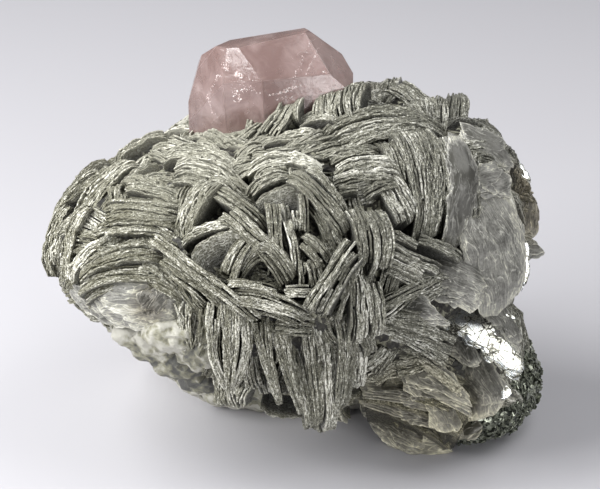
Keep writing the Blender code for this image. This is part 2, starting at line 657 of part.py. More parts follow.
def main():
    clear_scene()
    rosette = grow_rosette()
    crystal = crystal_solid("morganite_crystal")
    albite = albite_solid("albite_matrix")
    boolean(albite, "DIFFERENCE", [crust_solid("dark_mica_room", GAP), floor_cutter()])
    crust = crust_solid("dark_mica_crust")
    boolean(crust, "DIFFERENCE", [floor_cutter()])
    for obj in (rosette, crystal, albite, crust):
        finish(obj)


main()
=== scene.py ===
"""Morganite specimen, finished: a pink beryl crystal on a rosette of mica books, over albite and dark mica.

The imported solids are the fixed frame. Every mica book is rebuilt here as a stack of thin leaves, the crystal
is clear and has veils inside it, and the albite and the dark mica get their lumps and scales. Shapes are
worked out in millimetres and go into their meshes in metres.
"""

import math
import random
from functools import partial
from typing import NamedTuple

import bmesh
import bpy
from bpy.props import FloatProperty, FloatVectorProperty, IntProperty, PointerProperty
from mathutils import Matrix, Vector, geometry, noise
from mathutils.bvhtree import BVHTree


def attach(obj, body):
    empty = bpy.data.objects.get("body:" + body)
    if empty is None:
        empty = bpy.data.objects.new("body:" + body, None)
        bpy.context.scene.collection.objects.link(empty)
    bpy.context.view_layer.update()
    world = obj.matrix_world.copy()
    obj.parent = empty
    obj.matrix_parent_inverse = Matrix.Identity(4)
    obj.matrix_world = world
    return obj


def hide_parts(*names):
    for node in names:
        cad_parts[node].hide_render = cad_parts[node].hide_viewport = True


bl_info = {
    "name": "Morganite specimen",
    "version": (1, 0, 0),
    "blender": (4, 5, 0),
    "location": "View3D > Sidebar > Specimen",
    "description": "Builds a beryl crystal on mica books with its albite, its dark mica crust and a stage",
    "category": "Object",
}

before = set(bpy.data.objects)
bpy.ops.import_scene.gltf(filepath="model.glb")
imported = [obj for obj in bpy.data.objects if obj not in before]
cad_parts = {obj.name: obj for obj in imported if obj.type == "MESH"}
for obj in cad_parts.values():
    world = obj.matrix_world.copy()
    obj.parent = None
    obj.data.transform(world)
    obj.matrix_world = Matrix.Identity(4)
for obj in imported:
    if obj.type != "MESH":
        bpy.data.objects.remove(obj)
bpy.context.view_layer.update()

MM = 0.001
SPECIMEN_WIDTH = 90.0
# The solid that the pieces of each material stand for.
SOLIDS = {"muscovite": "muscovite_rosette", "morganite": "morganite_crystal", "albite": "albite_matrix",
          "dark_mica": "dark_mica_crust"}

# The front of the specimen is laid out on sight lines: a point is given by the pixel of the photograph at
# which it is seen. The specimen's width spans 511 pixels, which gives the size of one pixel.
PHOTO_CENTRE = (300.0, 244.5)
PHOTO_WIDTH = 600
WIDTH_IN_PIXELS = 511.0
MM_PER_PIXEL = SPECIMEN_WIDTH / WIDTH_IN_PIXELS
SIGHT_ELEVATION = math.radians(25)
SIGHT_DISTANCE = 420.0
SIGHT_CENTRE = Vector((0, -14, 36))
RIGHT = Vector((1, 0, 0))
UP = Vector((0, math.sin(SIGHT_ELEVATION), math.cos(SIGHT_ELEVATION)))
TOWARD = Vector((0, -math.cos(SIGHT_ELEVATION), math.sin(SIGHT_ELEVATION)))
EYE = SIGHT_CENTRE + TOWARD * SIGHT_DISTANCE
DOWN = Vector((0, 0, -1))


class Lobe(NamedTuple):
    """An ellipsoid of the smooth form that the mica books stand on."""

    centre: tuple
    radii: tuple


class Book(NamedTuple):
    """A stack of mica leaves, seen on edge. Its two ends are photograph pixels, the rest millimetres.

    thick is across the leaves, at the start and at the end. bow curves the edge to the left of the way from
    start to end. lift raises it from the form. turn, in degrees, tips it so that its right-hand face shows.
    reach is how deep the leaves go in.
    """

    start: tuple
    end: tuple
    thick: tuple
    bow: float = 0.0
    lift: float = 2.5
    turn: float = 8.0
    reach: float = 8.0


def front_book(start_x, start_y, end_x, end_y, thick, *others):
    """A book from one row of numbers. A single thickness holds for both ends."""
    both = thick if isinstance(thick, tuple) else (thick, thick)
    return Book((start_x, start_y), (end_x, end_y), both, *others)


class Plate(NamedTuple):
    """Mica leaves seen flat: an outline in photograph pixels. lean tips the face to the right and up.

    drift is how far each leaf lies to the right and up of the one under it, in millimetres. relief is the
    share of the usual waves, and grain the direction of the growth lines in degrees. pale lightens it, and
    darkens it below zero: painted light on plates that face away from the lamps, painted shade on those in
    shade, and a little of the leaves' own tone. deep is how many more leaves lie under these, for the sides
    alone.
    """

    outline: tuple
    lift: float
    lean: tuple
    leaves: int = 5
    drift: tuple = (0.0, 0.0)
    relief: float = 1.0
    grain: float = 0.0
    pale: float = 0.0
    deep: int = 0


class Lump(NamedTuple):
    """A lumpy mineral mass: an ellipsoid, turned about the vertical, with rounded lumps raised on it.

    grain_height and grain_size are those of the finer lumps on them.
    """

    centre: tuple
    radii: tuple
    turn: float
    lump_size: float
    lump_height: float
    grain_height: float
    grain_size: float


class Hidden(NamedTuple):
    """Books spread at random over the hidden sides: the ranges of their sizes, and where they may stand.

    They keep this spacing, face the viewer by less than facing, lie above lowest and face down by no more
    than steepest. Those that overhang may also hang below the rosette's sloping underside.
    """

    seed: int
    length: tuple
    thick: tuple
    bow: tuple
    lift: tuple
    reach: float
    spacing: float
    facing: float
    lowest: float
    steepest: float
    overhangs: bool


# The smooth form. A book stands out from it by its lift.
LOBES = {
    "dome": Lobe((-2, -9, 31.5), (38, 30, 23)),
    "foot": Lobe((25, -13, 14.5), (15, 17, 14)),
    "right": Lobe((29, -6, 38), (11, 20, 16)),
    "left": Lobe((-28, -10, 34), (15, 22, 13)),
    "crest": Lobe((14, 3, 45), (17, 16, 12)),
    "shoulder": Lobe((-5, 12, 39), (21, 13, 12)),
    "brow": Lobe((-2, -26, 22), (17, 10, 12)),
}

# The underside of the rosette slopes up to the left, clear of the albite: three points of that slope.
UNDERSIDE = ((-38, -14, 24), (-15, -32, 18), (-12, -5, 8))

# The albite spreads under the rosette and is cut flat at the foot. Its left flank slopes in to that foot.
ALBITE = Lump((-6, 0, 13), (30, 19, 15), -14, 9, 2.4, 0.5, 2.6)
ALBITE_FLANK = ((-34, 0, 14.5), (-17.6, 0, 0), (-17.6, -10, 2))
# Under the left wing it creeps up over the rosette in patches: the pixel and the radii of each, how they
# are turned and lumpy, and how far they stand out.
ALBITE_PATCHES = (((128, 336), (4.5, 4.5, 3.5)), ((148, 350), (6, 5, 5)), ((170, 338), (6, 5, 4)),
                  ((172, 368), (6, 5, 5)), ((194, 352), (5, 5, 6)), ((196, 384), (5, 5, 5)))
PATCH_LUMPS = (0, 4, 1, 0.5, 2)
PATCH_LIFT = 1.4
# Inside the rosette it ends at this slope.
ALBITE_TOP = ((-36, 0, 21), (12, 0, 16), (-12, 20, 20.5))
# The dark mica is a crust of small scales at the lower right. Inside the foot it ends at this slope.
DARK_MICA = Lump((30, -10, 8), (13.5, 17, 10), 0, 3.2, 1.3, 0.35, 1.1)
DARK_MICA_INSIDE = ((21, -10, 2), (33, -10, 17), (21, 10, 2))

# The crystal's corners: photograph pixel, and millimetres towards the viewer from the crystal's middle.
CRYSTAL_CENTRE = Vector((-5, 4, 59.6))
CRYSTAL_CORNERS = {
    "front_top_left": (232, 49, 8.5), "front_top_right": (303, 34, 7), "front_low_left": (262, 81, 9.3),
    "front_low_right": (330, 74, 7.6), "left_middle": (223, 84, 5.4), "left_top": (205, 60, 1.6),
    "left_low": (211, 90, 2.6), "left_foot": (214, 120, 1), "far_left_top": (201, 56, -1),
    "far_left": (190, 96, -3), "far_left_back": (199, 60, -8), "foot_left": (234, 122, 5),
    "foot_right": (300, 112, 6.4), "top_left": (230, 40, 2), "top_right": (304, 28, 1),
    "top_back": (262, 35, -9), "right_top": (342, 54, 1.5), "right_top_back": (318, 40, -8),
    "right_tip": (352, 71, 2.5), "right_tip_back": (345, 66, -8), "back_left": (215, 60, -10),
    "back_left_foot": (200, 115, -11.5), "back_right": (326, 60, -10.5),
    "back_right_foot": (330, 115, -12.5), "left_wall": (188, 104, -3), "left_wall_foot": (188, 130, -2),
    "left_wall_back": (191, 118, -9), "right_wall": (353, 78, 2.5), "right_wall_foot": (350, 120, 2),
    "right_wall_back": (349, 90, -8), "sole_left": (200, 152, 0), "sole_right": (330, 146, 0),
    "sole_back": (262, 150, -10),
}
CRYSTAL_FACES = {
    "front": ("front_top_left", "front_low_left", "front_low_right"),
    "diagonal": ("front_top_left", "front_low_left", "left_middle"),
    "lower_front": ("front_low_left", "left_middle", "foot_left"),
    "lower_right": ("front_low_left", "front_low_right", "foot_right"),
    "upper_left": ("front_top_left", "left_middle", "left_top"),
    "left": ("left_top", "left_low", "far_left"), "left_foot": ("left_low", "left_middle", "left_foot"),
    "far_left": ("far_left_top", "far_left", "far_left_back"),
    "left_bevel": ("far_left_top", "top_left", "far_left_back"),
    "top_bevel": ("front_top_left", "front_top_right", "top_left"),
    "top": ("top_left", "top_right", "top_back"),
    "right": ("front_top_right", "front_low_right", "right_top"),
    "upper_right": ("top_right", "right_top", "right_top_back"),
    "far_right": ("right_top", "right_tip", "right_tip_back"),
    "left_wall": ("left_wall", "left_wall_foot", "left_wall_back"),
    "right_wall": ("right_wall", "right_wall_foot", "right_wall_back"),
    "back_left": ("far_left_back", "back_left", "back_left_foot"),
    "back": ("back_left", "back_right", "back_left_foot"),
    "back_right": ("back_right", "right_tip_back", "back_right_foot"),
    "sole": ("sole_left", "sole_right", "sole_back"),
}

# The veils and chips at the crystal's faces: pixel, size in pixels across and up, turn in degrees, the size
# in millimetres of the largest flake and how many there are.
VEILS = (
    ((238, 75), (8, 4), -20, 0.42, 26),
    ((219, 76), (5, 4), 30, 0.3, 12),
    ((222, 50), (6, 2), 20, 0.22, 9),
    ((238, 100), (8, 4), 40, 0.34, 18),
    ((243, 84), (26, 14), 0, 0.2, 80),
    ((224, 64), (5, 16), 12, 0.3, 30),
    ((240, 92), (16, 5), 20, 0.28, 40),
    ((280, 93), (24, 1.6), 12, 0.3, 60),
    ((292, 88), (20, 1.6), 14, 0.3, 50),
    ((284, 98), (18, 1.6), 10, 0.24, 40),
    ((303, 58), (3, 44), -26, 0.2, 70),
    ((312, 62), (2, 34), -28, 0.18, 46),
    ((254, 90), (16, 3), -34, 0.16, 30),
    ((228, 60), (2.5, 22), -4, 0.24, 60),
    ((212, 88), (2, 28), -28, 0.24, 50),
    ((210, 104), (1.8, 22), 14, 0.24, 40),
    ((216, 116), (7, 2), -50, 0.2, 12),
    ((315, 56), (1.5, 30), -28, 0.16, 40),
    ((326, 72), (5, 3), -20, 0.26, 14),
    ((300, 68), (8, 1.5), -50, 0.16, 12),
)

# The books of the front, by the part of the rosette that they make up. A row holds the pixels of a book's
# two ends, its thickness, or one for each end, and then its other values in their order.
BOOKS = {name: [front_book(*row) for row in rows] for name, rows in {
    "mica_left_wing": (
        (76, 270, 166, 252, 2.6, 1.5, 2.5, 20), (78, 284, 182, 280, 2.6, 1.6, 2.2, 15),
        (84, 294, 165, 288, 1.8, 1.4, 1.8, 20, 5), (42, 275, 62, 200, 2.4, 1, 1.5),
        (56, 212, 98, 168, 2.4, 0.8, 1.5), (60, 284, 80, 200, 2.2, 1, 2.5),
        (74, 215, 130, 155, 2.6, 1, 2.2), (64, 283, 98, 240, 1.8, 0.9, 2.6),
        (88, 215, 150, 152, 3, 0.6, 1.8, 45), (112, 158, 162, 128, 2.6, 0.8, 1.2, 20),
        (84, 256, 152, 236, 2, 1, 2, 55, 5), (76, 234, 100, 237, 0.8, 0.2, 2),
        (78, 242, 98, 244, 0.8, 0, 2), (122, 182, 182, 196, 2, 0.2, 3), (99, 203, 182, 206, 1.8, 0.3, 3.2),
        (101, 214, 180, 221, 2.4, 0.5, 2.8), (103, 227, 174, 233, 1.8, 0.6, 2.4),
        (119, 181, 118, 198, 0.8, -0.3, 3), (140, 176, 182, 176, 2, 0.4, 0.5, 30),
    ),
    "mica_pale_books": (
        (163, 124, 216, 130, 2.4, 1.2, 2, 20), (164, 148, 238, 167, 3, 2, 3, 15, 9),
        (172, 162, 236, 180, 3.2, 1.4, 3.2, 10), (174, 175, 206, 184, 2, 0.4, 2.4),
        (208, 128, 238, 152, 2.2, 0.6, 1.2, 20), (218, 138, 246, 130, 2.2, 0.6, 0.8, 30),
        (236, 156, 262, 140, 2, 0.4, 1.6),
    ),
    "mica_centre": (
        (177, 232, 209, 176, 3.6, 0.5, 4, 25, 9), (213, 174, 236, 190, 1.4, 0.5, 3.8),
        (216, 186, 268, 228, 2.2, 0, 3.2), (176, 238, 238, 219, 1.8, 1, 4, 20, 6),
        (186, 248, 246, 223, 1.6, 1.4, 3.8, 58, 7), (224, 277, 247, 236, 2.8, 0.4, 3.4, 10),
        (226, 208, 292, 278, 3.2, 0.5, 3.6), (236, 284, 290, 286, 3, 5.5, 2.4, 0, 7),
        (150, 236, 258, 318, 2, 0, 5, 5), (148, 240, 178, 249, (2.2, 1.6), 0.4, 4.4),
        (162, 254, 224, 300, 2.8, 0.3, 3.8), (172, 272, 206, 299, 2, 0.2, 3),
        (224, 282, 278, 290, 1.4, 0.3, 4.2), (228, 294, 306, 316, 3, 0.8, 3.8),
        (235, 305, 300, 323, 1.6, 0.6, 2.4), (280, 292, 314, 290, 1.8, 0.2, 3),
        (273, 200, 277, 272, 2, 0.2, 3.2), (287, 216, 297, 272, 1.4, 0.2, 3),
        (304, 188, 305, 232, 1.4, 0.1, 3.6), (297, 204, 299, 232, 1.2, 0, 2.6),
        (300, 236, 330, 264, 2.4, 0.3, 3.4), (304, 260, 306, 289, 1.4, 0, 3),
        (310, 256, 320, 286, 1.8, 0.1, 2.8), (316, 200, 344, 262, 3, 0, 1.2),
        (322, 238, 344, 284, 2.4, 0, 1.2),
    ),
    "mica_top": (
        (250, 197, 298, 178, 1.4, 0.8, 3.2, 60, 7), (246, 189, 290, 171, 2, 0.8, 3, 15),
        (254, 173, 290, 165, 1.6, 0.8, 2.8, 20), (247, 163, 326, 169, 2.4, 2.6, 2.4, 15),
        (254, 114, 251, 144, 2.4, 0, 2), (266, 134, 306, 98, 1.6, 1.6, 2.4, 60, 6),
        (268, 140, 320, 125, 1.8, 0.8, 2.8, 20), (284, 143, 322, 133, 2, 0.4, 2.2, 30),
        (302, 108, 320, 122, 1.8, 0.2, 2.8), (320, 112, 326, 86, 1.6, 0, 2.2),
        (332, 108, 336, 88, 1.8, 0, 2.2), (343, 91, 372, 89, 1, 0.3, 2, 60, 4),
        (378, 100, 378, 77, 2.2, 0, 2), (391, 100, 389, 77, 2.2, 0, 2.2),
        (400, 93, 434, 94, 3, 0.8, 0.6, 30), (402, 98, 414, 108, 1, 0, 2.6),
        (428, 114, 426, 95, 1.8, 0, 2.2), (442, 114, 444, 93, 2.2, 0, 2),
        (455, 138, 461, 87, (3.4, 3), -0.3, 2.2),
    ),
    # Those that lean on the front of the crystal stand far out from the form behind it.
    "mica_seat": (
        (266, 130, 289, 97, (3.2, 2.2), -0.6, 16.2, 10, 4),
        (276, 128, 298, 106, (2.4, 1.8), 0.4, 15, 20, 4), (290, 112, 304, 91, (2.2, 1.4), 0.4, 17, 25, 5),
        (300, 122, 316, 106, (1.4, 1), 0.3, 8, 20, 4), (294, 121, 334, 112, (2.4, 2), 0.9, 8.5, 20, 4),
        (317, 114, 321, 87, (1.8, 1.2), 0.3, 11.2, 0, 4), (325, 114, 329, 84, (2, 1.4), 0.3, 10.9, 10, 4),
        (333, 112, 338, 85, (2, 1.6), 0.3, 10.3, 0, 4), (342, 108, 347, 79, (2.4, 2), 0.4, 11.3, 15, 4),
        (351, 106, 360, 77, (2.6, 2.4), 0.4, 11, 10, 5),
    ),
    "mica_right": (
        (320, 132, 446, 124, (3.6, 2.6), 3.4, 4, 10, 10), (326, 146, 436, 122, (4.4, 2.4), 1, 3.4, 5),
        (314, 151, 378, 149, 1.4, 0.3, 2.8), (328, 156, 380, 147, 1.6, 0.5, 3),
        (335, 168, 402, 163, 2.8, 0.8, 3.8, 5), (334, 178, 396, 174, 1.8, 0.3, 3.4),
        (335, 188, 361, 184, 1.4, 0.1, 3.8), (362, 192, 397, 177, 2.4, 0.2, 2.8),
        (392, 136, 412, 206, (2.6, 2.2), 0, 4.2), (412, 121, 428, 234, (7.4, 3.8), 1.4, 5, 0, 9),
        (437, 140, 441, 228, 1.6, 0.6, 3.6), (388, 178, 414, 216, (5, 4.2), 0, 2.2),
        (356, 206, 366, 264, (2.6, 2.2), 0.5, 4.4), (374, 205, 382, 271, (3.4, 2.8), 1.2, 4.8),
        (307, 306, 351, 239, 1.6, 0, 6), (314, 314, 353, 250, 2.6, 0, 5.2, 20),
        (292, 168, 350, 232, 2.8, 0.3, 4), (313, 164, 348, 210, 1.2, 0.2, 4.6),
        (330, 316, 352, 262, 3, 0, 3), (357, 262, 358, 345, 2.2, 0, 3.2),
        (372, 280, 376, 338, (3.2, 2.6), 0.3, 4), (388, 230, 420, 244, 1.4, 0, 2.8),
        (420, 236, 466, 258, 1.6, 0.3, 3), (388, 242, 446, 268, 2, -0.5, 3.4),
        (388, 256, 428, 276, 2, 0, 3.2), (388, 266, 426, 284, 1.6, 0, 2.8), (386, 300, 394, 268, 3, 0, 1.6),
        (382, 306, 426, 285, 2.2, 0.2, 3), (383, 318, 404, 301, 1, 0, 2.8),
    ),
    "mica_foot": (
        (384, 316, 452, 334, (1.4, 4), 0.3, 3, 15), (384, 326, 458, 356, (1.6, 5), 0.3, 3.4, 15),
        (384, 336, 464, 378, (1.2, 3), 0.5, 3.2, 20), (392, 346, 470, 398, (1, 2.2), 0.6, 3, 20),
        (394, 362, 476, 410, 1.2, 2, 3, 58, 9), (362, 384, 440, 392, (0.8, 3.2), 0.4, 2.4, 40, 9),
        (364, 388, 456, 404, (0.8, 3.2), 0.6, 2.8, 30, 9),
        (362, 392, 464, 420, (0.8, 3.4), 0.5, 2.6, 50, 9), (362, 396, 462, 428, (1, 3.6), 0.5, 2.4, 25, 9),
        (362, 400, 456, 438, (1.2, 3.4), 0.5, 2.2, 45, 9), (362, 404, 446, 446, (1.2, 3.2), 0.5, 2, 30, 9),
        (364, 410, 430, 450, (1.4, 3), 0.3, 1.8, 20, 8), (366, 416, 412, 452, (1.2, 2.4), 0.3, 1.4, 10, 8),
        (364, 372, 390, 350, 1.8, 0, 2.6, 0, 8), (372, 384, 404, 362, 2.4, 0.2, 2, 20, 8),
        (370, 376, 420, 366, (2.6, 3), 0.2, 1.4, 30, 8),
    ),
    "mica_hanging": (
        (206, 308, 203, 350, (2, 1.4), 0, 2.6), (218, 303, 226, 393, (2.8, 0.8), -1.4, 4.4),
        (232, 305, 229, 397, (3.4, 0.7), 0, 4.4), (247, 316, 233, 392, (2.6, 0.8), 0.9, 3.8),
        (261, 322, 281, 412, (2.6, 0.9), -0.3, 3.6), (277, 326, 306, 423, (2.8, 0.9), -0.3, 4),
        (293, 332, 314, 430, (2.6, 1), 0, 3.6), (314, 330, 322, 432, (2.6, 1.2), 0, 4.4),
        (331, 322, 334, 436, (3.6, 1.5), 0.3, 4.6), (348, 318, 342, 416, (3.6, 1.5), 0.4, 4),
        (363, 340, 358, 392, (2.4, 2), 0, 2.8),
    ),
    "mica_flank": (
        (444, 132, 448, 236, 3.4, 0.4, 2.4, 15, 9), (454, 134, 464, 240, (4.4, 4), 0.8, 2.2, 25, 9),
        (468, 150, 472, 232, (3.4, 2.4), 0.8, 1.8, 30, 9), (460, 152, 498, 154, 4, 0.6, 1.4),
        (508, 190, 536, 194, (3, 2.4), 0.4, 1.2, 30), (512, 206, 541, 202, (3.4, 3), 0.4, 1, 10),
        (510, 220, 541, 224, 3.4, 0.4, 1, -20), (516, 232, 538, 238, (2.4, 2), 0.2, 1, 20),
        (508, 163, 536, 187, 1.6, 0.2, 2),
    ),
}.items()}

# The leaves that lie flat to the viewer, by the piece that they make up.
PLATES = {
    "mica_plates": {
        "flank_face": Plate(
            ((472, 178), (498, 168), (514, 192), (528, 240), (530, 282), (514, 302), (496, 308), (474, 262),
            (466, 222)), 2.2, (0.35, 0.1), 7, (-0.15, -0.3), 1.3, -68, 0, 14),
        "flank_crown": Plate(
            ((474, 172), (496, 162), (510, 176), (512, 196), (494, 192), (480, 190)), 2.4, (0.2, 0.4), 4,
            (0, 0.2), 1, 30, 0, 10),
        "flank_tip": Plate(
            ((526, 234), (535, 238), (547, 252), (528, 258)), 0.6, (0.3, 0.2), 4, (-0.3, 0.1), 1, 0),
        "grey_face": Plate(
            ((426, 264), (452, 254), (478, 262), (488, 284), (474, 300), (446, 294), (430, 280)), 1.8,
            (0.2, 0.4), 6, (0.1, 0.25), 1.2, -20, 0, 8),
        "grey_strip": Plate(
            ((478, 288), (494, 292), (516, 320), (524, 344), (508, 344), (484, 316)), 1.8, (0.3, 0.4), 6,
            (0.1, 0.25), 0.8, -55, 0, 10),
        "dark_strip": Plate(
            ((428, 308), (444, 312), (466, 342), (478, 362), (468, 366), (440, 340)), 1.6, (-0.3, 0.1), 5,
            (0.25, 0.2), 0.4, -48),
        "foot_face": Plate(
            ((454, 354), (474, 356), (490, 376), (508, 398), (496, 410), (478, 412), (462, 388)), 2.2,
            (0.1, 0.1), 8, (0.3, 0.3), 2.2, -60, 0.4, 8),
        "foot_tip": Plate(
            ((378, 434), (400, 438), (424, 440), (442, 446), (448, 455), (428, 461), (404, 456),
            (388, 447)), 0.8, (-0.1, 0), 5, (0.1, 0.3), 1.2, 0, 0.5),
        "foot_leaf": Plate(
            ((394, 358), (408, 352), (426, 356), (448, 372), (466, 396), (472, 410), (440, 396),
            (408, 384)), 2.4, (0.1, 0.3), 6, (0.1, 0.3), 0.6, -36),
        "flank_fold": Plate(
            ((456, 134), (472, 140), (480, 168), (479, 205), (471, 236), (460, 250), (450, 240), (456, 204),
            (453, 165)), 3.6, (0.4, 0), 6, (-0.2, 0.1), 1.3, -84, -0.45),
    },
    # More of them on the forms of the left wing, the flank and the foot. They are too thin and too close to
    # those forms to change the solid.
    "mica_flat_leaves": {
        "wing_face": Plate(
            ((74, 280), (80, 296), (102, 312), (132, 320), (166, 320), (172, 306), (160, 292), (120, 286),
            (92, 286)), 1.4, (-0.25, -0.05), 10, (0.2, 0.42), 1.3, 8, 0.6, 6),
        "wing_edge": Plate(
            ((56, 262), (62, 284), (80, 304), (102, 318), (124, 324), (122, 310), (98, 296), (76, 276)),
            0.6, (-0.45, 0.05), 7, (0.15, 0.3), 1.2, -40, 0.2, 6),
        "wing_low": Plate(
            ((98, 308), (130, 326), (176, 328), (198, 316), (178, 304), (140, 306)), 1, (-0.15, -0.25), 6,
            (0, 0.4), 1.2, 10, 0.8),
        "wing_brown": Plate(
            ((134, 300), (146, 292), (158, 290), (164, 312), (154, 318), (142, 310)), 2.2, (-0.1, 0), 5,
            (0.3, 0.2), 1, 60, -0.15),
        "flank_top": Plate(
            ((462, 128), (486, 134), (504, 148), (512, 168), (482, 174), (466, 158)), 1.2, (0.1, 0.3), 8,
            (0.05, 0.35), 0.8, -25),
        "flank_back": Plate(
            ((508, 180), (530, 184), (541, 200), (540, 228), (528, 242), (510, 232)), 1.2, (0.5, 0.2), 8,
            (-0.3, 0.05), 1, 80),
        "foot_blade_high": Plate(
            ((362, 383), (394, 380), (432, 390), (468, 408), (470, 415), (434, 408), (396, 398),
            (364, 392)), 2.7, (0, 0.35), 4, (0.15, 0.4), 0.8, -15, 0.3),
        "foot_blade": Plate(
            ((362, 393), (394, 396), (430, 407), (460, 424), (462, 432), (428, 423), (394, 412),
            (364, 402)), 3.1, (0.05, 0.25), 4, (0.15, 0.4), 0.8, -20),
        "foot_blade_low": Plate(
            ((364, 403), (390, 410), (420, 423), (446, 440), (441, 447), (412, 438), (384, 425),
            (364, 412)), 2.9, (0.05, 0.15), 4, (0.15, 0.4), 0.8, -28, 0.2),
        "foot_blade_tip": Plate(
            ((366, 413), (386, 423), (410, 437), (430, 450), (420, 455), (396, 447), (374, 431)), 2.4,
            (0, 0.1), 4, (0.15, 0.4), 0.8, -35, 0.1),
        "foot_chip_high": Plate(
            ((430, 406), (456, 404), (472, 416), (458, 430), (436, 424)), 4, (0.35, 0.2), 3, (0.2, 0.2),
            0.8, -50, 0.1),
        "foot_chip": Plate(
            ((448, 422), (470, 414), (482, 426), (468, 440), (450, 438)), 3.8, (-0.25, 0.35), 3, (0.2, 0.2),
            0.8, 20, -0.2),
        "foot_chip_low": Plate(
            ((424, 430), (446, 424), (458, 438), (444, 450), (426, 444)), 4.2, (0.2, -0.2), 3, (0.2, 0.2),
            0.8, -10, 0.2),
        "cave_roof": Plate(
            ((386, 296), (404, 292), (430, 306), (448, 322), (430, 322), (402, 312)), 1, (0.1, 0.2), 6,
            (-0.1, 0.3), 0.6, -20),
    },
    # Those that mirror the light.
    "mica_mirrors": {
        "mirror_face": Plate(
            ((443, 303), (452, 303), (462, 309), (471, 311), (482, 318), (490, 323), (498, 334), (508, 342),
            (514, 351), (522, 357), (522, 370), (517, 378), (510, 370), (504, 372), (497, 360), (488, 357),
            (482, 346), (470, 341), (463, 331), (454, 331), (442, 322)), 4.8, (0.35, 0.6), 4, (0.1, 0.12),
            0.15, -40, 0, 6),
        "mirror_rim": Plate(
            ((508, 158), (518, 160), (532, 180), (524, 184), (512, 174)), 1.6, (0.35, 0.65), 3, (0.1, 0.1),
            0.5, 0),
        "mirror_edge": Plate(
            ((520, 236), (527, 236), (530, 252), (528, 272), (523, 290), (521, 268)), 2.4, (0.35, 0.65), 3,
            (0.1, 0.1), 0.3, 0),
        "mirror_low": Plate(
            ((497, 383), (508, 385), (510, 393), (503, 397)), 5.5, (0.35, 0.65), 2, (0.1, 0.1), 0.1, 0),
        "mirror_spark": Plate(
            ((502, 314), (508, 313), (513, 317), (507, 319)), 3, (0.35, 0.65), 2, (0.1, 0.1), 0.1, 0),
    },
}

# How every book is shaped. Its edge turns from the form's outward direction towards the viewer by this
# share.
TURN_TO_VIEWER = 1.1
# Inside, a book is thinner and shorter than at its edge and bows less, and its edge drops away at both
# ends.
ROOT_THINNER = 0.45
ROOT_SHORTER = 0.12
ROOT_STRAIGHTER = 0.3
END_DROP = 0.22

# A plate's leaves, seen flat: even steps round it and rings, and the radii of the rings of its lower face.
# In millimetres: the distance from leaf to leaf, the heights and lengths of the long waves and of the
# ripples, the drop at the rim, the depth and length of the bays and of the notches in the outline, the
# radius to which a plate is rounded like the form under it, how the ripples shift from leaf to leaf, the
# layer of noise of the notches, and a length beyond any outline.
PLATE_STEPS = 64
PLATE_RINGS = 10
PLATE_LOWER_RINGS = (0.9, 0.5, 0)
PLATE_PITCH = 0.24
PLATE_WAVE, PLATE_WAVE_LENGTH = 1.0, 6
PLATE_RIPPLE, PLATE_RIPPLE_LENGTH = 0.17, 1.6
PLATE_RIM = 0.4
PLATE_BAY, PLATE_BAY_LENGTH = 1.2, 3
PLATE_NOTCH, PLATE_NOTCH_LENGTH = 0.45, 0.8
PLATE_ROUND = 24.0
PLATE_SHIFT = 0.6
PLATE_NOTCH_LAYER = 50
FAR = 1000
# The lowest of its leaves reaches this far past the outline, the others less. Each is this share of the
# pitch thick to either side, and has its own shade and its own share of the drift.
PLATE_WIDER = 1.06
PLATE_STEP_IN = (0.02, 0.12)
PLATE_HALF_THICK = 0.45
PLATE_TINT = 0.16
PLATE_DRIFT = (0.7, 1.2)
# The leaves deep under a plate have fewer rings, and each is smaller than the one above it by this share.
DEEP_RINGS = 3
DEEP_SHRINK = 0.012

# Leaves are uneven, so a stack is made this much thicker, and this many millimetres longer, to fill its
# book.
THICKER = 1.12
LONGER = 0.5
# A leaf is blunt at its edge, to this share of its depth. In millimetres: the height and length of the
# waves that all leaves of a book share and of the ripples in one leaf, the length of the ripples inwards,
# the length of the bays and the depth and length of the notches in its edge, and the depth and length of
# its cut corners. The waves fade to a share at the root and shift from leaf to leaf, and bays and notches
# lie in layers of noise of their own.
EDGE_DEPTH = 0.008
SWELL, SWELL_LENGTH = 0.4, 6.0
SWELL_FADE = 0.5
SWELL_SHIFT = 0.6
RIPPLE, RIPPLE_LENGTH, RIPPLE_DEPTH = 0.16, 1.9, 2.5
RAG_LENGTH = 1.5
RAG_LAYER, NOTCH_LAYER = 4.0, 9.0
NOTCH, NOTCH_LENGTH = 0.4, 0.8
CORNER, CORNER_LENGTH = 0.6, 1.4
# The leaves lie in packets of this many, and fall short of the book's ends by up to so many millimetres,
# the packet as a whole and each leaf. This share of them pinches out, at so much of the book's half length.
# A book has at least so many leaves.
PACKET = (3, 8)
PACKET_SHORT = 1.2
LEAF_SHORT = 0.35
PINCHED_OUT = 0.35
PINCH = (0.3, 1.3)
LEAST_LEAVES = 3
# A leaf's half thickness as a share of the pitch. The leaf that parts two packets is thinner and deeper, and
# is painted darker as the shade in the gap between them.
HALF_THICK = (0.5, 0.75)
PARTING_HALF_THICK = (0.3, 0.45)
PARTING_DEPTH = (0.2, 0.8)
PARTING_PAINTED_SHADE = -0.35
# How much books and packets, and leaves, differ in shade, and packets and leaves in raggedness, as shares
# of the usual one. Leaves lie off their even places by up to a share of their distance, slope by up to
# about a share of it and are set back by up to LEAF_RECESS millimetres. SEEDS is the range of the seeds of
# their waves, and GRAIN_STEP how far apart those seeds put the growth lines of two leaves.
BOOK_TINT = 0.1
LEAF_TINT = 0.12
PACKET_RAGGED = 1.6
LEAF_RAGGED = (0.4, 1.4)
OFF_PLACE = (-0.25, 0.25)
LEAF_SLOPE = 0.5
LEAF_RECESS = 0.12
GRAIN_STEP = 3
SEEDS = (0, 500)
# Each piece draws its books, leaves, flakes or scales from a seed of its own, counted up from these.
BOOKS_SEED, PLATES_SEED, BACK_SEED, VEILS_SEED, CRUST_SEED = 100, 200, 300, 400, 500
# A book that is tipped by more than these degrees shows its face. Its outer leaves have more rows, and their
# painted shade deepens inward by only this share.
SHOWS_FACE = 40
FACE_ROWS = 2
FACE_SHADE = 0.42
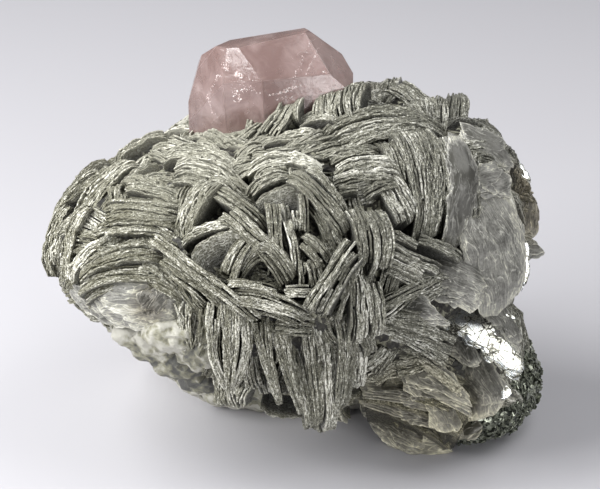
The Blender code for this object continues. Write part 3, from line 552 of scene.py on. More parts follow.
# A leaf bends at this many points, or at fewer where it is shorter. On small books, and on those behind,
# they lie further apart by these factors.
STATIONS = (4, 30)
FILLER_COARSER = 1.3
BACK_COARSER = 1.5

# The crystal is cloudiest here, at the left of its front.
CLOUDY_POINT = (-12, -4, 61)

# The stage, in metres: the floor's radius and how far below the ground it lies, the point that the lights
# face, and each light's place and size. Then the colour of the light from all round, and the camera's
# sensor in millimetres.
FLOOR_RADIUS = 3.0
FLOOR_DROP = 0.0001
LIT_POINT = Vector((0, -0.01, 0.03))
LIGHTS = {
    "key": ((-0.33, 0.03, 0.44), (0.33, 0.3)),
    "window": ((-0.3, -0.14, 0.2), (0.2, 0.2)),
    "front": ((0.2, -0.34, 0.1), (0.16, 0.16)),
    "panel": ((0.24, 0.0, 0.4), (0.34, 0.34)),
}
SKY_COLOUR = (0.82, 0.84, 0.93, 1)
SENSOR_WIDTH = 36

# How two colours are mixed: blended, or the second as a stain on the first.
BLEND = {"data_type": "RGBA"}
STAIN = {"data_type": "RGBA", "blend_type": "MULTIPLY"}

# The books are bleached round the first point, and all leaves stained olive round the second, at the foot.
# The albite is grey round the place that is seen at a pixel low on its front.
PALE_CENTRE = (-13, -7, 52)
OLIVE_CENTRE = (22, -30, 8)
GREY_PIXEL = (206, 386)
# Spots that are stained brown: the pixel and the radius in millimetres.
BROWN_SPOTS = ((530, 206, 9.0), (150, 304, 4.5), (388, 404, 3.5), (516, 180, 5.0))

# The core behind the books, broken mica painted dark as the shade between them: the height and size of its
# bumps, how low it goes, how far its sloping underside is raised, how clear it is of the crystal, and the
# radius and depth of the caves.
CORE_BUMPS = 0.8
CORE_BUMP_SIZE = 1.6
CORE_LOWEST = 0.3
CORE_UNDER_RAISE = 4.5
CORE_CLEARANCE = 0.3
CAVE_RADIUS = 6.5
CAVE_DEPTH = 7.5

# Small books that fill the gaps of the front. In pixels: their area, spacing and length, and the places
# that they leave open. Their thickness, lift, bow and reach are in millimetres, and the spread of their
# turns in degrees.
FILLER_SEED = 11
FILLER_TRIES = 30
FILLER_AREA = ((48, 540), (84, 440))
FILLER_SPACING = 10.5
FILLER_LENGTH = (30, 60)
FILLER_THICK = (2.0, 4.0)
FILLER_LIFT = (-0.6, 0.8)
FILLER_REACH = 4.0
FILLER_SWING = 14
FILLER_TURN = (-35, 35)
FILLER_BOW = (-0.6, 0.6)
CRYSTAL_SEAT = ((192, 348), (0, 112))
CAVES = ((402, 226, 32), (434, 247, 32), (312, 190, 9), (262, 190, 8))
BARE_AREAS = ((500, 245, 42), (480, 335, 46), (450, 290, 20), (130, 345, 36), (168, 360, 36), (176, 395, 36))

# The sides that the photograph doesn't show carry thicker books, with smaller ones in the gaps between
# them.
HIDDEN_TRIES = 15600
BACK_BOOKS = 46
BACK = Hidden(seed=7, length=(11, 18), thick=(3.5, 6.5), bow=(-1.2, 1.2), lift=(0.8, 2.4), reach=8,
              spacing=6.5, facing=-0.08, lowest=6, steepest=-0.75, overhangs=True)
BACK_FILLER = Hidden(seed=12, length=(6, 11), thick=(1.4, 3.0), bow=(-0.8, 0.8), lift=(0.2, 1.2), reach=4,
                     spacing=3.0, facing=0.3, lowest=3, steepest=-0.9, overhangs=False)
# Books round the crystal's foot: the middle and radii of their ring seen from above, and how far out of it
# and how much turned they may stand.
SEAT_SEED = 13
SEAT_BOOKS = 44
SEAT_CENTRE = (-5.2, 5.0)
SEAT_RADII = (17.6, 13.0)
SEAT_OUT = (0.96, 1.3)
SEAT_SWING = 0.5
SEAT_LENGTH = (5, 9)
SEAT_THICK = (1.4, 2.8)
SEAT_BOW = (-0.5, 0.5)
SEAT_LIFT = (0.0, 1.0)

# In shares of its height, a lump rises from its creases by up to LUMP_FLAT, and rounds off from its middle
# by LUMP_ROUND. A grain on it rises GRAIN_STEEP times as fast, as far as GRAIN_FLAT, and carries a noise of
# the share GRAIN_NOISE that is GRAIN_FINER times as fine.
LUMP_FLAT, LUMP_ROUND = 0.5, 0.25
GRAIN_FLAT, GRAIN_STEEP, GRAIN_NOISE, GRAIN_FINER = 0.4, 2, 0.4, 3
# The scales of the dark mica crust: millimetres from the middle to the rim and how deep each is set in, its
# thickness as a share of that, how much they tilt, and how high above the ground they start.
SCALE_SIZE = (0.3, 0.85)
SCALE_SUNK = 0.1
SCALE_THICK = 0.25
SCALE_TILT = 0.8
SCALE_LOWEST = 0.6
# The veils' flakes: the range of their sizes as shares of the largest, their half thickness and depth in
# millimetres, and how much they tilt.
FLAKE_SIZE = (0.3, 1)
FLAKE_THICK = 0.06
FLAKE_DEPTH = 0.05
FLAKE_TILT = 0.2


def linear(hex_colour):
    """An sRGB hex colour as the linear values that Blender's sockets hold."""
    values = [int(hex_colour[i:i + 2], 16) / 255 for i in (0, 2, 4)]
    return tuple(v / 12.92 if v <= 0.04045 else ((v + 0.055) / 1.055) ** 2.4 for v in values)


def colour_property(name, hex_colour, description):
    return FloatVectorProperty(name=name, description=description, subtype="COLOR", size=3, min=0, max=1,
                               default=linear(hex_colour))


def length_property(name, millimetres, description):
    return FloatProperty(name=name, description=description, unit="LENGTH", min=0, precision=5,
                         default=millimetres * MM)


def power_property(name, watts, description):
    return FloatProperty(name=name, description=description, unit="POWER", min=0, default=watts)


def count_property(name, count, description):
    return IntProperty(name=name, description=description, min=0, default=count)


class MicaSettings(bpy.types.PropertyGroup):
    """Muscovite: the leaves of the books and their colours."""

    leaf_pitch: length_property("Leaf pitch", 0.27, "Distance from one leaf of a book to the next")
    station: length_property("Station", 0.62, "Distance between the points that bend a leaf along its length")
    fillers: count_property("Small books", 230, "Small books that fill the gaps in front")
    back_fillers: count_property("Small back books", 260, "Small books that fill the gaps behind")
    ragged: length_property("Raggedness", 0.4, "How far the edges of neighbouring leaves stand apart")
    # Painted glints: frayed bits of the leaf edges, and the brightest marks of the flat leaves, painted
    # near-white as if they caught the light.
    worn: colour_property("Worn edges", "f6f5ea", "Frayed bits that catch the light")
    light: colour_property("Light leaves", "cfcdbb", "Paler leaves")
    middle: colour_property("Middle leaves", "939280", "Most leaves")
    # Partly stain, partly painted shade: the darkest marks, the parting leaves and the gaps deep in a book are
    # painted dark as shade.
    dark: colour_property("Dark leaves", "3c3b30", "Leaves that are stained or deep in a book")
    # The warm and the cool tint are partly the mica's own olive and grey, and partly painted light: warm where
    # the key falls on the left, cool and a little darker on the right.
    warm: colour_property("Warm side", "a5a183", "Tint of the left and the foot, where the mica is olive")
    cool: colour_property("Cool side", "97978f", "Tint of the right side, where the mica is grey")
    face_middle: colour_property("Flat leaves", "94938c", "Leaves seen flat")
    face_dark: colour_property("Dark flat leaves", "4e4d47", "Their darker clouds")
    fresh: colour_property("Fresh faces", "ecf0f0", "Cleavage faces that mirror the light")
    olive: colour_property("Olive", "eee6ca", "Stain of the leaves at the foot")
    brown: colour_property("Brown", "b3a482", "Stain of a few spots on the rim")


class CrystalSettings(bpy.types.PropertyGroup):
    """Morganite, the pink beryl."""

    body: colour_property("Body", "a48a84", "Colour that the clear crystal lets through")
    clouds: colour_property("Clouds", "d3bbb6", "Its paler, cloudy patches")
    veils: colour_property("Veils", "fdf6f4", "Cracks and worn edges")
    absorb: colour_property("Absorption", "e2c0ba", "Colour that deep crystal turns to")
    depth: FloatProperty(name="Absorption density", description="Per metre", default=22.0, min=0)
    bevel: length_property("Edge bevel", 0.35, "Width of the worn edges between the faces")


class AlbiteSettings(bpy.types.PropertyGroup):
    """Albite, the pale feldspar."""

    pale: colour_property("Pale", "b8b6ab", "Clean feldspar")
    stain: colour_property("Stain", "8c8a76", "Olive stains between the lumps")
    shade: colour_property("Shade", "555550", "Grey impurity low on the matrix")


class CrustSettings(bpy.types.PropertyGroup):
    """The crust of dark mica scales."""

    scales: count_property("Scales", 2600, "Number of small scales")
    dark: colour_property("Dark", "30332d", "Most scales")
    # The light scales, picked at random, are partly thin, paler scales and partly painted glints of scales
    # that face the lamps.
    light: colour_property("Light", "989c8c", "Scales that are thin or face the light")


class StageSettings(bpy.types.PropertyGroup):
    """The floor and the light."""

    floor: colour_property("Floor", "c2c1c5", "Pale tabletop")
    key: power_property("Key light", 2.8, "Soft light from the left and above")
    window: power_property("Window light", 1.4, "Low light from the left")
    front: power_property("Front light", 0.55, "Low light from the front right")
    panel: power_property("Panel", 1.07, "Pale panel above, which the mica mirrors")
    fill: FloatProperty(name="Fill light", description="Strength of the light from all round", min=0,
                        default=0.15)


def sight(pixel):
    """The direction from the eye to the point that is seen at a pixel of the photograph."""
    across = (pixel[0] - PHOTO_CENTRE[0]) * MM_PER_PIXEL
    above = (PHOTO_CENTRE[1] - pixel[1]) * MM_PER_PIXEL
    return (SIGHT_CENTRE + RIGHT * across + UP * above - EYE).normalized()


def scaled(vector, radii):
    return Vector(c / r for c, r in zip(vector, radii))


def outward_from(lobe, point):
    return scaled(scaled(point - Vector(lobe.centre), lobe.radii), lobe.radii).normalized()


def on_form(pixel):
    """Where the sight line meets the lobes or passes nearest to one, and the outward direction there."""
    ray = sight(pixel)
    met, missed = [], []
    for lobe in LOBES.values():
        start = scaled(EYE - Vector(lobe.centre), lobe.radii)
        step = scaled(ray, lobe.radii)
        nearest = -start.dot(step) / step.length_squared
        depth = 1 - (start + step * nearest).length_squared
        if depth > 0:
            met.append((nearest - math.sqrt(depth / step.length_squared), lobe))
        else:
            missed.append((-depth, nearest, lobe))
    if met:
        distance, lobe = min(met, key=lambda hit: hit[0])
    else:
        _, distance, lobe = min(missed, key=lambda miss: miss[0])
    point = EYE + ray * distance
    return point, outward_from(lobe, point)


def on_plane(pixel, point, normal):
    """Where the sight line of a pixel meets a plane."""
    ray = sight(pixel)
    return EYE + ray * ((point - EYE).dot(normal) / ray.dot(normal))


def facing(points, away_from):
    """A point of the plane through three points, and its normal on the side away from another point."""
    first, second, third = (Vector(point) for point in points)
    outward = (second - first).cross(third - first).normalized()
    if outward.dot(first - away_from) < 0:
        outward.negate()
    return first, outward


def underside():
    return facing(UNDERSIDE, Vector(LOBES["dome"].centre))


def over_underside(point, name):
    """True where a point of a lobe is above the rosette's sloping underside. The foot hangs below it."""
    under, outward = underside()
    return name == "foot" or (point - under).dot(outward) < 0


def height_in(lobe, point):
    """How far out a point lies from a lobe's centre, where its surface is at 1."""
    return scaled(point - Vector(lobe.centre), lobe.radii).length


def in_the_way(pixel):
    """True at the crystal's seat, the caves and the bare areas, which the small books leave open."""
    (left, right), (top, low) = CRYSTAL_SEAT
    in_seat = left < pixel[0] < right and top < pixel[1] < low
    return in_seat or any(math.dist(pixel, (x, y)) < size for x, y, size in CAVES + BARE_AREAS)


def middle_of(book):
    return ((book.start[0] + book.end[0]) / 2, (book.start[1] + book.end[1]) / 2)


def filler_books(count):
    """Small books in the gaps of the front, each turned much as the nearest of the larger ones."""
    rng = random.Random(FILLER_SEED)
    known = [book for books in BOOKS.values() for book in books]
    made = []
    for _ in range(count * FILLER_TRIES):
        if len(made) == count:
            break
        pixel = (rng.uniform(*FILLER_AREA[0]), rng.uniform(*FILLER_AREA[1]))
        length = rng.uniform(*FILLER_LENGTH)
        swing = math.radians(rng.gauss(0, FILLER_SWING))
        thick = rng.uniform(*FILLER_THICK)
        lift = rng.uniform(*FILLER_LIFT)
        turn = rng.uniform(*FILLER_TURN)
        bow = rng.uniform(*FILLER_BOW)
        if in_the_way(pixel) or any(math.dist(pixel, middle_of(book)) < FILLER_SPACING for book in made):
            continue
        point, _ = on_form(pixel)
        on_lobes = [name for name, lobe in LOBES.items() if abs(height_in(lobe, point) - 1) < 0.001]
        if not any(over_underside(point, name) for name in on_lobes):
            continue
        nearest = min(known, key=lambda book: math.dist(pixel, middle_of(book)))
        heading = math.atan2(nearest.end[1] - nearest.start[1], nearest.end[0] - nearest.start[0]) + swing
        step = (math.cos(heading) * length / 2, math.sin(heading) * length / 2)
        start = (pixel[0] - step[0], pixel[1] - step[1])
        end = (pixel[0] + step[0], pixel[1] + step[1])
        made.append(Book(start, end, (thick, thick), bow, lift, turn, FILLER_REACH))
    return made


def book_place(book):
    """The middle of a book's edge, its half length, and its directions along, outward and across."""
    point, normal = on_form(middle_of(book))
    outward = (normal + TOWARD * TURN_TO_VIEWER).normalized()
    point += outward * book.lift
    start = on_plane(book.start, point, outward)
    end = on_plane(book.end, point, outward)
    along = (end - start).normalized()
    outward = Matrix.Rotation(-math.radians(book.turn), 3, along) @ outward
    return (start + end) / 2, (end - start).length / 2, along, outward, outward.cross(along)


def random_vector(rng, spread):
    return Vector([rng.gauss(0, spread) for _ in range(3)])


def behind_book(point, normal, half, along, thick, bow, reach):
    """A book that no pixel gives: its place and the book itself."""
    place = (point, half, along, normal, normal.cross(along))
    return place, Book((0, 0), (0, 0), (thick, thick), bow, reach=reach)


def hidden_books(kind, count):
    """Books of the sides that the photograph doesn't show."""
    rng = random.Random(kind.seed)
    taken = []
    made = []
    for _ in range(HIDDEN_TRIES):
        if len(made) == count:
            break
        name = rng.choice(sorted(LOBES))
        lobe = LOBES[name]
        way = random_vector(rng, 1).normalized()
        point = Vector(c + w * r for c, w, r in zip(lobe.centre, way, lobe.radii))
        normal = scaled(way, lobe.radii).normalized()
        spin = rng.uniform(0, math.pi)
        half = rng.uniform(*kind.length) / 2
        thick = rng.uniform(*kind.thick)
        bow = rng.uniform(*kind.bow)
        raised = point + normal * rng.uniform(*kind.lift)
        hidden = normal.dot(TOWARD) < kind.facing and point.z > kind.lowest and normal.z > kind.steepest
        buried = any(height_in(other, point) < 1 for key, other in LOBES.items() if key != name)
        crowded = any((point - spot).length < kind.spacing for spot in taken)
        if not hidden or buried or crowded or not (kind.overhangs or over_underside(point, name)):
            continue
        along = Matrix.Rotation(spin, 3, normal) @ normal.orthogonal().normalized()
        taken.append(raised if kind.overhangs else point)
        made.append(behind_book(raised, normal, half, along, thick, bow, kind.reach))
    return made


def seat_books():
    """Small books round the crystal's foot, turned more or less along its sides."""
    rng = random.Random(SEAT_SEED)
    made = []
    for number in range(SEAT_BOOKS):
        angle = math.tau * (number + rng.uniform(-0.5, 0.5)) / SEAT_BOOKS
        out = rng.uniform(*SEAT_OUT)
        x = SEAT_CENTRE[0] + SEAT_RADII[0] * out * math.cos(angle)
        y = SEAT_CENTRE[1] + SEAT_RADII[1] * out * math.sin(angle)
        tops = []
        for lobe in LOBES.values():
            off = ((x - lobe.centre[0]) / lobe.radii[0]) ** 2 + ((y - lobe.centre[1]) / lobe.radii[1]) ** 2
            if off < 1:
                top = Vector((x, y, lobe.centre[2] + lobe.radii[2] * math.sqrt(1 - off)))
                tops.append((top.z, top, outward_from(lobe, top)))
        _, point, normal = max(tops, key=lambda top: top[0])
        tangent = Vector((-math.sin(angle), math.cos(angle), 0))
        tangent = Matrix.Rotation(rng.gauss(0, SEAT_SWING), 3, normal) @ tangent
        along = (tangent - normal * tangent.dot(normal)).normalized()
        half = rng.uniform(*SEAT_LENGTH) / 2
        thick = rng.uniform(*SEAT_THICK)
        raised = point + normal * rng.uniform(*SEAT_LIFT)
        made.append(behind_book(raised, normal, half, along, thick, rng.uniform(*SEAT_BOW), FILLER_REACH))
    return made


def to_mesh(name, bm):
    """Turns a bmesh into a mesh and frees it."""
    mesh = bpy.data.meshes.new(name)
    bm.to_mesh(mesh)
    bm.free()
    return mesh


def append_to(region, bm):
    """Moves the shape in one bmesh into another."""
    mesh = to_mesh("book", bm)
    region.from_mesh(mesh)
    bpy.data.meshes.remove(mesh)


def mica_mesh():
    """An empty bmesh with the data that the mica's materials read.

    tint is how pale a leaf is, edge how near its edge, and grain the place along and across its growth lines.
    On a book's leaves edge falls towards the root, and paints shade there.
    """
    bm = bmesh.new()
    bm.verts.layers.float.new("tint")
    bm.verts.layers.float.new("edge")
    bm.loops.layers.uv.new("grain")
    return bm


def set_mica(bm, verts, data):
    """Fills in the mica's data, which hold each vertex's tint, edge and grain."""
    tint = bm.verts.layers.float["tint"]
    edge = bm.verts.layers.float["edge"]
    grain = bm.loops.layers.uv["grain"]
    for vert in verts:
        vert[tint], vert[edge], where = data[vert]
        for loop in vert.link_loops:
            loop[grain].uv = where


def leaf_mesh(stations, rows):
    """A leaf as a unit shape to copy: X is -1 to 1 along it, Y 0 at its edge and 1 at its root, Z across.

    Its cross-section is a blunt edge that thins to nothing at the root. rows cut its two faces between them.
    """
    bm = mica_mesh()
    depths = [EDGE_DEPTH + (1 - EDGE_DEPTH) * row / (rows + 1) for row in range(rows + 1)]
    section = [(0, 0)] + [(y, 1 - y) for y in depths] + [(1, 0)] + [(y, y - 1) for y in reversed(depths)]
    face = bm.faces.new([bm.verts.new((-1, y, z)) for y, z in section])
    far_end = [item for item in bmesh.ops.extrude_face_region(bm, geom=[face])["geom"]
               if isinstance(item, bmesh.types.BMVert)]
    bmesh.ops.translate(bm, vec=(2, 0, 0), verts=far_end)
    lengthwise = [edge for edge in bm.edges if abs(edge.verts[0].co.x - edge.verts[1].co.x) > 1]
    bmesh.ops.subdivide_edges(bm, edges=lengthwise, cuts=stations - 1)
    bmesh.ops.recalc_face_normals(bm, faces=bm.faces)
    return to_mesh("leaf", bm)


class Leaf(NamedTuple):
    """One leaf's own place, slope and size in its book. shade is how far its painted shade deepens inward,
    towards the root.
    """

    place: float
    slope: float
    first: float
    last: float
    corners: tuple
    half_thick: float
    recess: float
    ragged: float
    tint: float
    shade: float
    seed: float
    seed_of_book: float


def add_leaf(bm, place, book, leaf, shape):
    """One leaf of a book: the unit leaf bent to its place in the stack."""
    middle, half, along, outward, across = place
    bm.from_mesh(shape)
    bm.verts.ensure_lookup_table()
    verts = bm.verts[-len(shape.vertices):]
    length = leaf.last - leaf.first
    data = {}
    for vert in verts:
        x = leaf.first + length * (vert.co.x + 1) / 2
        y = vert.co.y
        z = vert.co.z
        distance = x * half
        corner = leaf.corners[0] * max(0, 1 - (x - leaf.first) * half / CORNER_LENGTH)
        corner += leaf.corners[1] * max(0, 1 - (leaf.last - x) * half / CORNER_LENGTH)
        thick = THICKER * (book.thick[0] + (book.thick[1] - book.thick[0]) * (x + 1) / 2)
        spread = (leaf.place + leaf.slope * x) * thick / 2 * (1 - ROOT_THINNER * y)
        bow = book.bow * (1 - x * x) * (1 - ROOT_STRAIGHTER * y)
        swell = SWELL * noise.noise((distance / SWELL_LENGTH, leaf.place * SWELL_SHIFT, leaf.seed_of_book))
        ripple = RIPPLE * noise.noise((distance / RIPPLE_LENGTH, leaf.seed, y * book.reach / RIPPLE_DEPTH))
        rag = leaf.ragged * noise.noise((distance / RAG_LENGTH, leaf.seed, RAG_LAYER))
        notch = NOTCH * noise.noise((distance / NOTCH_LENGTH, leaf.seed, NOTCH_LAYER))
        side = spread + bow + swell * (1 - SWELL_FADE * y) + ripple + leaf.half_thick * z
        recess = leaf.recess + corner + rag + notch
        deep = book.reach * y + END_DROP * half * x ** 4 + recess * (1 - y)
        vert.co = middle + along * (distance * (1 - ROOT_SHORTER * y)) + across * side - outward * deep
        grain = (distance, z * leaf.half_thick + y * book.reach + leaf.seed * GRAIN_STEP)
        data[vert] = (leaf.tint, 1 - y * leaf.shade, grain)
    set_mica(bm, verts, data)


def add_book(region, place, book, rng, mica, shapes, coarser):
    """A book as a stack of leaves. They lie in packets, and a deeper leaf parts one packet from the next.

    Some leaves pinch out on the way, so that the lines of the edge part and meet.
    """
    pitch = mica.leaf_pitch / MM
    ragged = mica.ragged / MM
    half = place[1]
    count = max(LEAST_LEAVES, round(max(book.thick) * THICKER / pitch))
    rows = FACE_ROWS if abs(book.turn) > SHOWS_FACE else 0
    bm = mica_mesh()
    seed_of_book = rng.uniform(*SEEDS)
    book_tint = rng.gauss(0, BOOK_TINT)
    left_in_packet = 0
    for number in range(count):
        parting = left_in_packet == 0 and number > 0
        if left_in_packet == 0:
            left_in_packet = rng.randint(*PACKET)
            packet_recess = rng.uniform(0, PACKET_RAGGED * ragged)
            packet_tint = rng.gauss(0, BOOK_TINT)
            packet_ends = (rng.uniform(0, PACKET_SHORT), rng.uniform(0, PACKET_SHORT))
        left_in_packet -= 1
        outer = number in (0, count - 1)
        first = packet_ends[0] + rng.uniform(0, LEAF_SHORT)
        last = packet_ends[1] + rng.uniform(0, LEAF_SHORT)
        if not outer and rng.random() < PINCHED_OUT:
            pinch = half * rng.uniform(*PINCH)
            if rng.random() < 0.5:
                first += pinch
            else:
                last += pinch
        length = 2 * half - first - last
        stations = min(STATIONS[1], max(STATIONS[0], round(length / (coarser * mica.station / MM))))
        if (stations, rows) not in shapes:
            shapes[stations, rows] = leaf_mesh(stations, rows)
        tint = 0.5 + book_tint + packet_tint
        leaf = Leaf(
            place=-1 + 2 * (number + 0.5 + rng.uniform(*OFF_PLACE)) / count,
            slope=rng.gauss(0, LEAF_SLOPE / count),
            first=-1 + (first - LONGER) / half,
            last=1 - (last - LONGER) / half,
            corners=(rng.uniform(0, CORNER), rng.uniform(0, CORNER)),
            half_thick=pitch * rng.uniform(*(PARTING_HALF_THICK if parting else HALF_THICK)),
            recess=packet_recess + rng.uniform(0, LEAF_RECESS)
            + (rng.uniform(*PARTING_DEPTH) if parting else 0),
            ragged=ragged * rng.uniform(*LEAF_RAGGED),
            tint=min(1, max(0, tint + rng.gauss(0, LEAF_TINT) + PARTING_PAINTED_SHADE * parting)),
            shade=FACE_SHADE if outer and rows else 1.0,
            seed=rng.uniform(*SEEDS),
            seed_of_book=seed_of_book,
        )
        add_leaf(bm, place, book, leaf, shapes[stations, rows])
    append_to(region, bm)


def build_books(name, placed, rng, mica, material, shapes, coarser=1.0):
    """A piece made of books, each given with its place."""
    bm = mica_mesh()
    for place, book in placed:
        add_book(bm, place, book, rng, mica, shapes, coarser)
    finish_piece(name, bm, material, "muscovite")


def outline_radii(points, steps):
    """How far the outline reaches from the origin of its plane at each of a number of even angles."""
    radii = []
    for step in range(steps):
        way = Vector((math.cos(math.tau * step / steps), math.sin(math.tau * step / steps)))
        reach = 0.0
        for first, second in zip(points, points[1:] + points[:1]):
            met = geometry.intersect_line_line_2d(Vector((0, 0)), way * FAR, first, second)
            if met:
                reach = max(reach, met.length)
        radii.append(reach)
    return radii


def disc_mesh(rings):
    """A unit leaf that is seen flat: a disc of radius 1, with its top face at 1 and its lower one at -1."""
    bm = mica_mesh()
    top = [(math.sqrt(ring / rings), 0, 1) for ring in range(rings)]
    lower = [(radius, 0, -1) for radius in PLATE_LOWER_RINGS]
    verts = [bm.verts.new(point) for point in top + [(1, 0, 0)] + lower]
    edges = [bm.edges.new(pair) for pair in zip(verts, verts[1:])]
    bmesh.ops.spin(bm, geom=verts + edges, cent=(0, 0, 0), axis=(0, 0, 1), angle=math.tau, steps=PLATE_STEPS,
                   use_merge=True)
    bmesh.ops.remove_doubles(bm, verts=bm.verts, dist=0.0001)
    bmesh.ops.recalc_face_normals(bm, faces=bm.faces)
    return to_mesh("disc", bm)


def add_plate(region, plate, rng, disc, deep_disc):
    """A plate as a stack of flat leaves. Each is smaller than the one under it, with a ragged outline."""
    centre = (sum(x for x, _ in plate.outline) / len(plate.outline),
              sum(y for _, y in plate.outline) / len(plate.outline))
    point, _ = on_form(centre)
    normal = (TOWARD + RIGHT * plate.lean[0] + UP * plate.lean[1]).normalized()
    point += normal * plate.lift
    right = (RIGHT - normal * RIGHT.dot(normal)).normalized()
    up = normal.cross(right)
    middle = on_plane(centre, point, normal)
    corners = [on_plane(pixel, point, normal) - middle for pixel in plate.outline]
    radii = outline_radii([Vector((corner.dot(right), corner.dot(up))) for corner in corners], PLATE_STEPS)
    seed = rng.uniform(*SEEDS)
    slant = math.radians(plate.grain)
    for number in range(plate.leaves + plate.deep):
        bm = mica_mesh()
        below = max(0, number - plate.leaves + 1)
        bm.from_mesh(deep_disc if below else disc)
        above = 0 if below else 1 - number / max(1, plate.leaves - 1)
        shrink = PLATE_WIDER - above * rng.uniform(*PLATE_STEP_IN) - below * DEEP_SHRINK
        drift = Vector(plate.drift) * (plate.leaves / 2 - number + below) * rng.uniform(*PLATE_DRIFT)
        drift += Vector(plate.lean) * (PLATE_PITCH * below)
        # Painted light and shade: pale raises the tint of plates that face away from the lamps and lowers it
        # for those in shade.
        tint = max(0, 0.5 + plate.pale + rng.gauss(0, PLATE_TINT))
        leaf_seed = rng.uniform(*SEEDS)
        data = {}
        for vert in bm.verts:
            radius = math.hypot(vert.co.x, vert.co.y)
            turn = math.atan2(vert.co.y, vert.co.x) / math.tau * PLATE_STEPS
            low = math.floor(turn)
            reach = radii[low % PLATE_STEPS] * (low + 1 - turn)
            reach += radii[(low + 1) % PLATE_STEPS] * (turn - low)
            way = Vector((vert.co.x, vert.co.y)).normalized() if radius > 0 else Vector((0, 0))
            rim = way * reach
            bays = PLATE_BAY * noise.noise((*(rim / PLATE_BAY_LENGTH), leaf_seed))
            notches = PLATE_NOTCH * noise.noise((*(rim / PLATE_NOTCH_LENGTH), leaf_seed + PLATE_NOTCH_LAYER))
            spot = way * (radius * reach * shrink + radius ** 3 * (bays + notches)) + drift
            wave = PLATE_WAVE * noise.noise((*(spot / PLATE_WAVE_LENGTH), seed))
            ripple = PLATE_RIPPLE * noise.noise((*(spot / PLATE_RIPPLE_LENGTH), seed + number * PLATE_SHIFT))
            drop = PLATE_RIM * radius ** 4 + spot.length_squared / (2 * PLATE_ROUND)
            height = plate.relief * (wave + ripple - drop)
            height += PLATE_PITCH * (PLATE_HALF_THICK * vert.co.z - number)
            vert.co = middle + right * spot.x + up * spot.y + normal * height
            grain = (spot.x * math.cos(slant) + spot.y * math.sin(slant) + leaf_seed,
                     spot.y * math.cos(slant) - spot.x * math.sin(slant))
            data[vert] = (tint, radius ** 8, grain)
        set_mica(bm, bm.verts, data)
        append_to(region, bm)


def trim(bm, point, outward):
    """Cuts a shape off at a plane and closes the cut."""
    geom = bm.verts[:] + bm.edges[:] + bm.faces[:]
    cut = bmesh.ops.bisect_plane(bm, geom=geom, plane_co=point, plane_no=outward, clear_outer=True)
    bmesh.ops.holes_fill(bm, edges=[item for item in cut["geom_cut"] if isinstance(item, bmesh.types.BMEdge)])


def crystal_solid():
    """The crystal: a big cube trimmed to each of its flat faces in turn."""
    corners = {
        corner: on_plane((x, y), CRYSTAL_CENTRE + TOWARD * depth, TOWARD)
        for corner, (x, y, depth) in CRYSTAL_CORNERS.items()
    }
    bm = bmesh.new()
    bmesh.ops.create_cube(bm, size=SPECIMEN_WIDTH)
    bmesh.ops.translate(bm, vec=CRYSTAL_CENTRE, verts=bm.verts)
    for names in CRYSTAL_FACES.values():
        trim(bm, *facing([corners[corner] for corner in names], CRYSTAL_CENTRE))
    return bm


def raised_ball(centre, radii, subdivisions, height_at, turn=0):
    """An ellipsoid, turned about the vertical and raised at each point by what height_at gives for it."""
    turned = Matrix.Rotation(math.radians(turn), 3, "Z")
    bm = bmesh.new()
    bmesh.ops.create_icosphere(bm, subdivisions=subdivisions, radius=1)
    for vert in bm.verts:
        point = Vector(w * r for w, r in zip(vert.co, radii))
        normal = scaled(vert.co, radii).normalized()
        vert.co = Vector(centre) + turned @ (point + normal * height_at(point))
    return bm


def lump_mesh(lump, subdivisions):
    """A lumpy mass with rounded lumps as the solid has, and finer ones on them."""
    def height_at(point):
        nearest, second = noise.voronoi(point / lump.lump_size)[0][:2]
        height = lump.lump_height * (min(second - nearest, LUMP_FLAT) - LUMP_ROUND * nearest)
        nearest, second = noise.voronoi(point / lump.grain_size)[0][:2]
        height += lump.grain_height * (min(second - nearest, GRAIN_FLAT) * GRAIN_STEEP - nearest)
        return height + GRAIN_NOISE * lump.grain_height * noise.noise(point * GRAIN_FINER / lump.grain_size)

    return raised_ball(lump.centre, lump.radii, subdivisions, height_at, lump.turn)


def flake_place(point, way, spin, size):
    """The matrix of a flake at a point, facing a way, turned about it and of a given size."""
    face_on = way.to_track_quat("Z", "Y").to_matrix().to_4x4()
    return Matrix.Translation(point) @ face_on @ Matrix.Rotation(spin, 4, "Z") @ Matrix.Diagonal((*size, 1))


def finish_piece(name, bm, material, slot, smooth_angle=35):
    """Turns a bmesh in millimetres into a piece in metres that rides on the body and stands for its solid.

    What would reach below the floor is flattened onto it.
    """
    for vert in bm.verts:
        vert.co.z = max(vert.co.z, 0)
    bmesh.ops.scale(bm, vec=(MM, MM, MM), verts=bm.verts)
    mesh = to_mesh(name, bm)
    mesh.materials.append(material)
    mesh.shade_smooth()
    mesh.set_sharp_from_angle(angle=math.radians(smooth_angle))
    piece = bpy.data.objects.new(name, mesh)
    bpy.context.scene.collection.objects.link(piece)
    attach(piece, "root")
    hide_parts(SOLIDS[slot])
    return piece


def fill_in(tree, node, inputs):
    """Fills a node's sockets, each with a value or with the output of another node.

    inputs go by the names of the sockets, or come in the order in which the node shows them.
    """
    named = isinstance(inputs, dict)
    sockets = node.inputs if named else [socket for socket in node.inputs if socket.enabled]
    for key, value in inputs.items() if named else enumerate(inputs):
        if isinstance(value, bpy.types.NodeSocket):
            tree.links.new(value, sockets[key])
        else:
            sockets[key].default_value = value


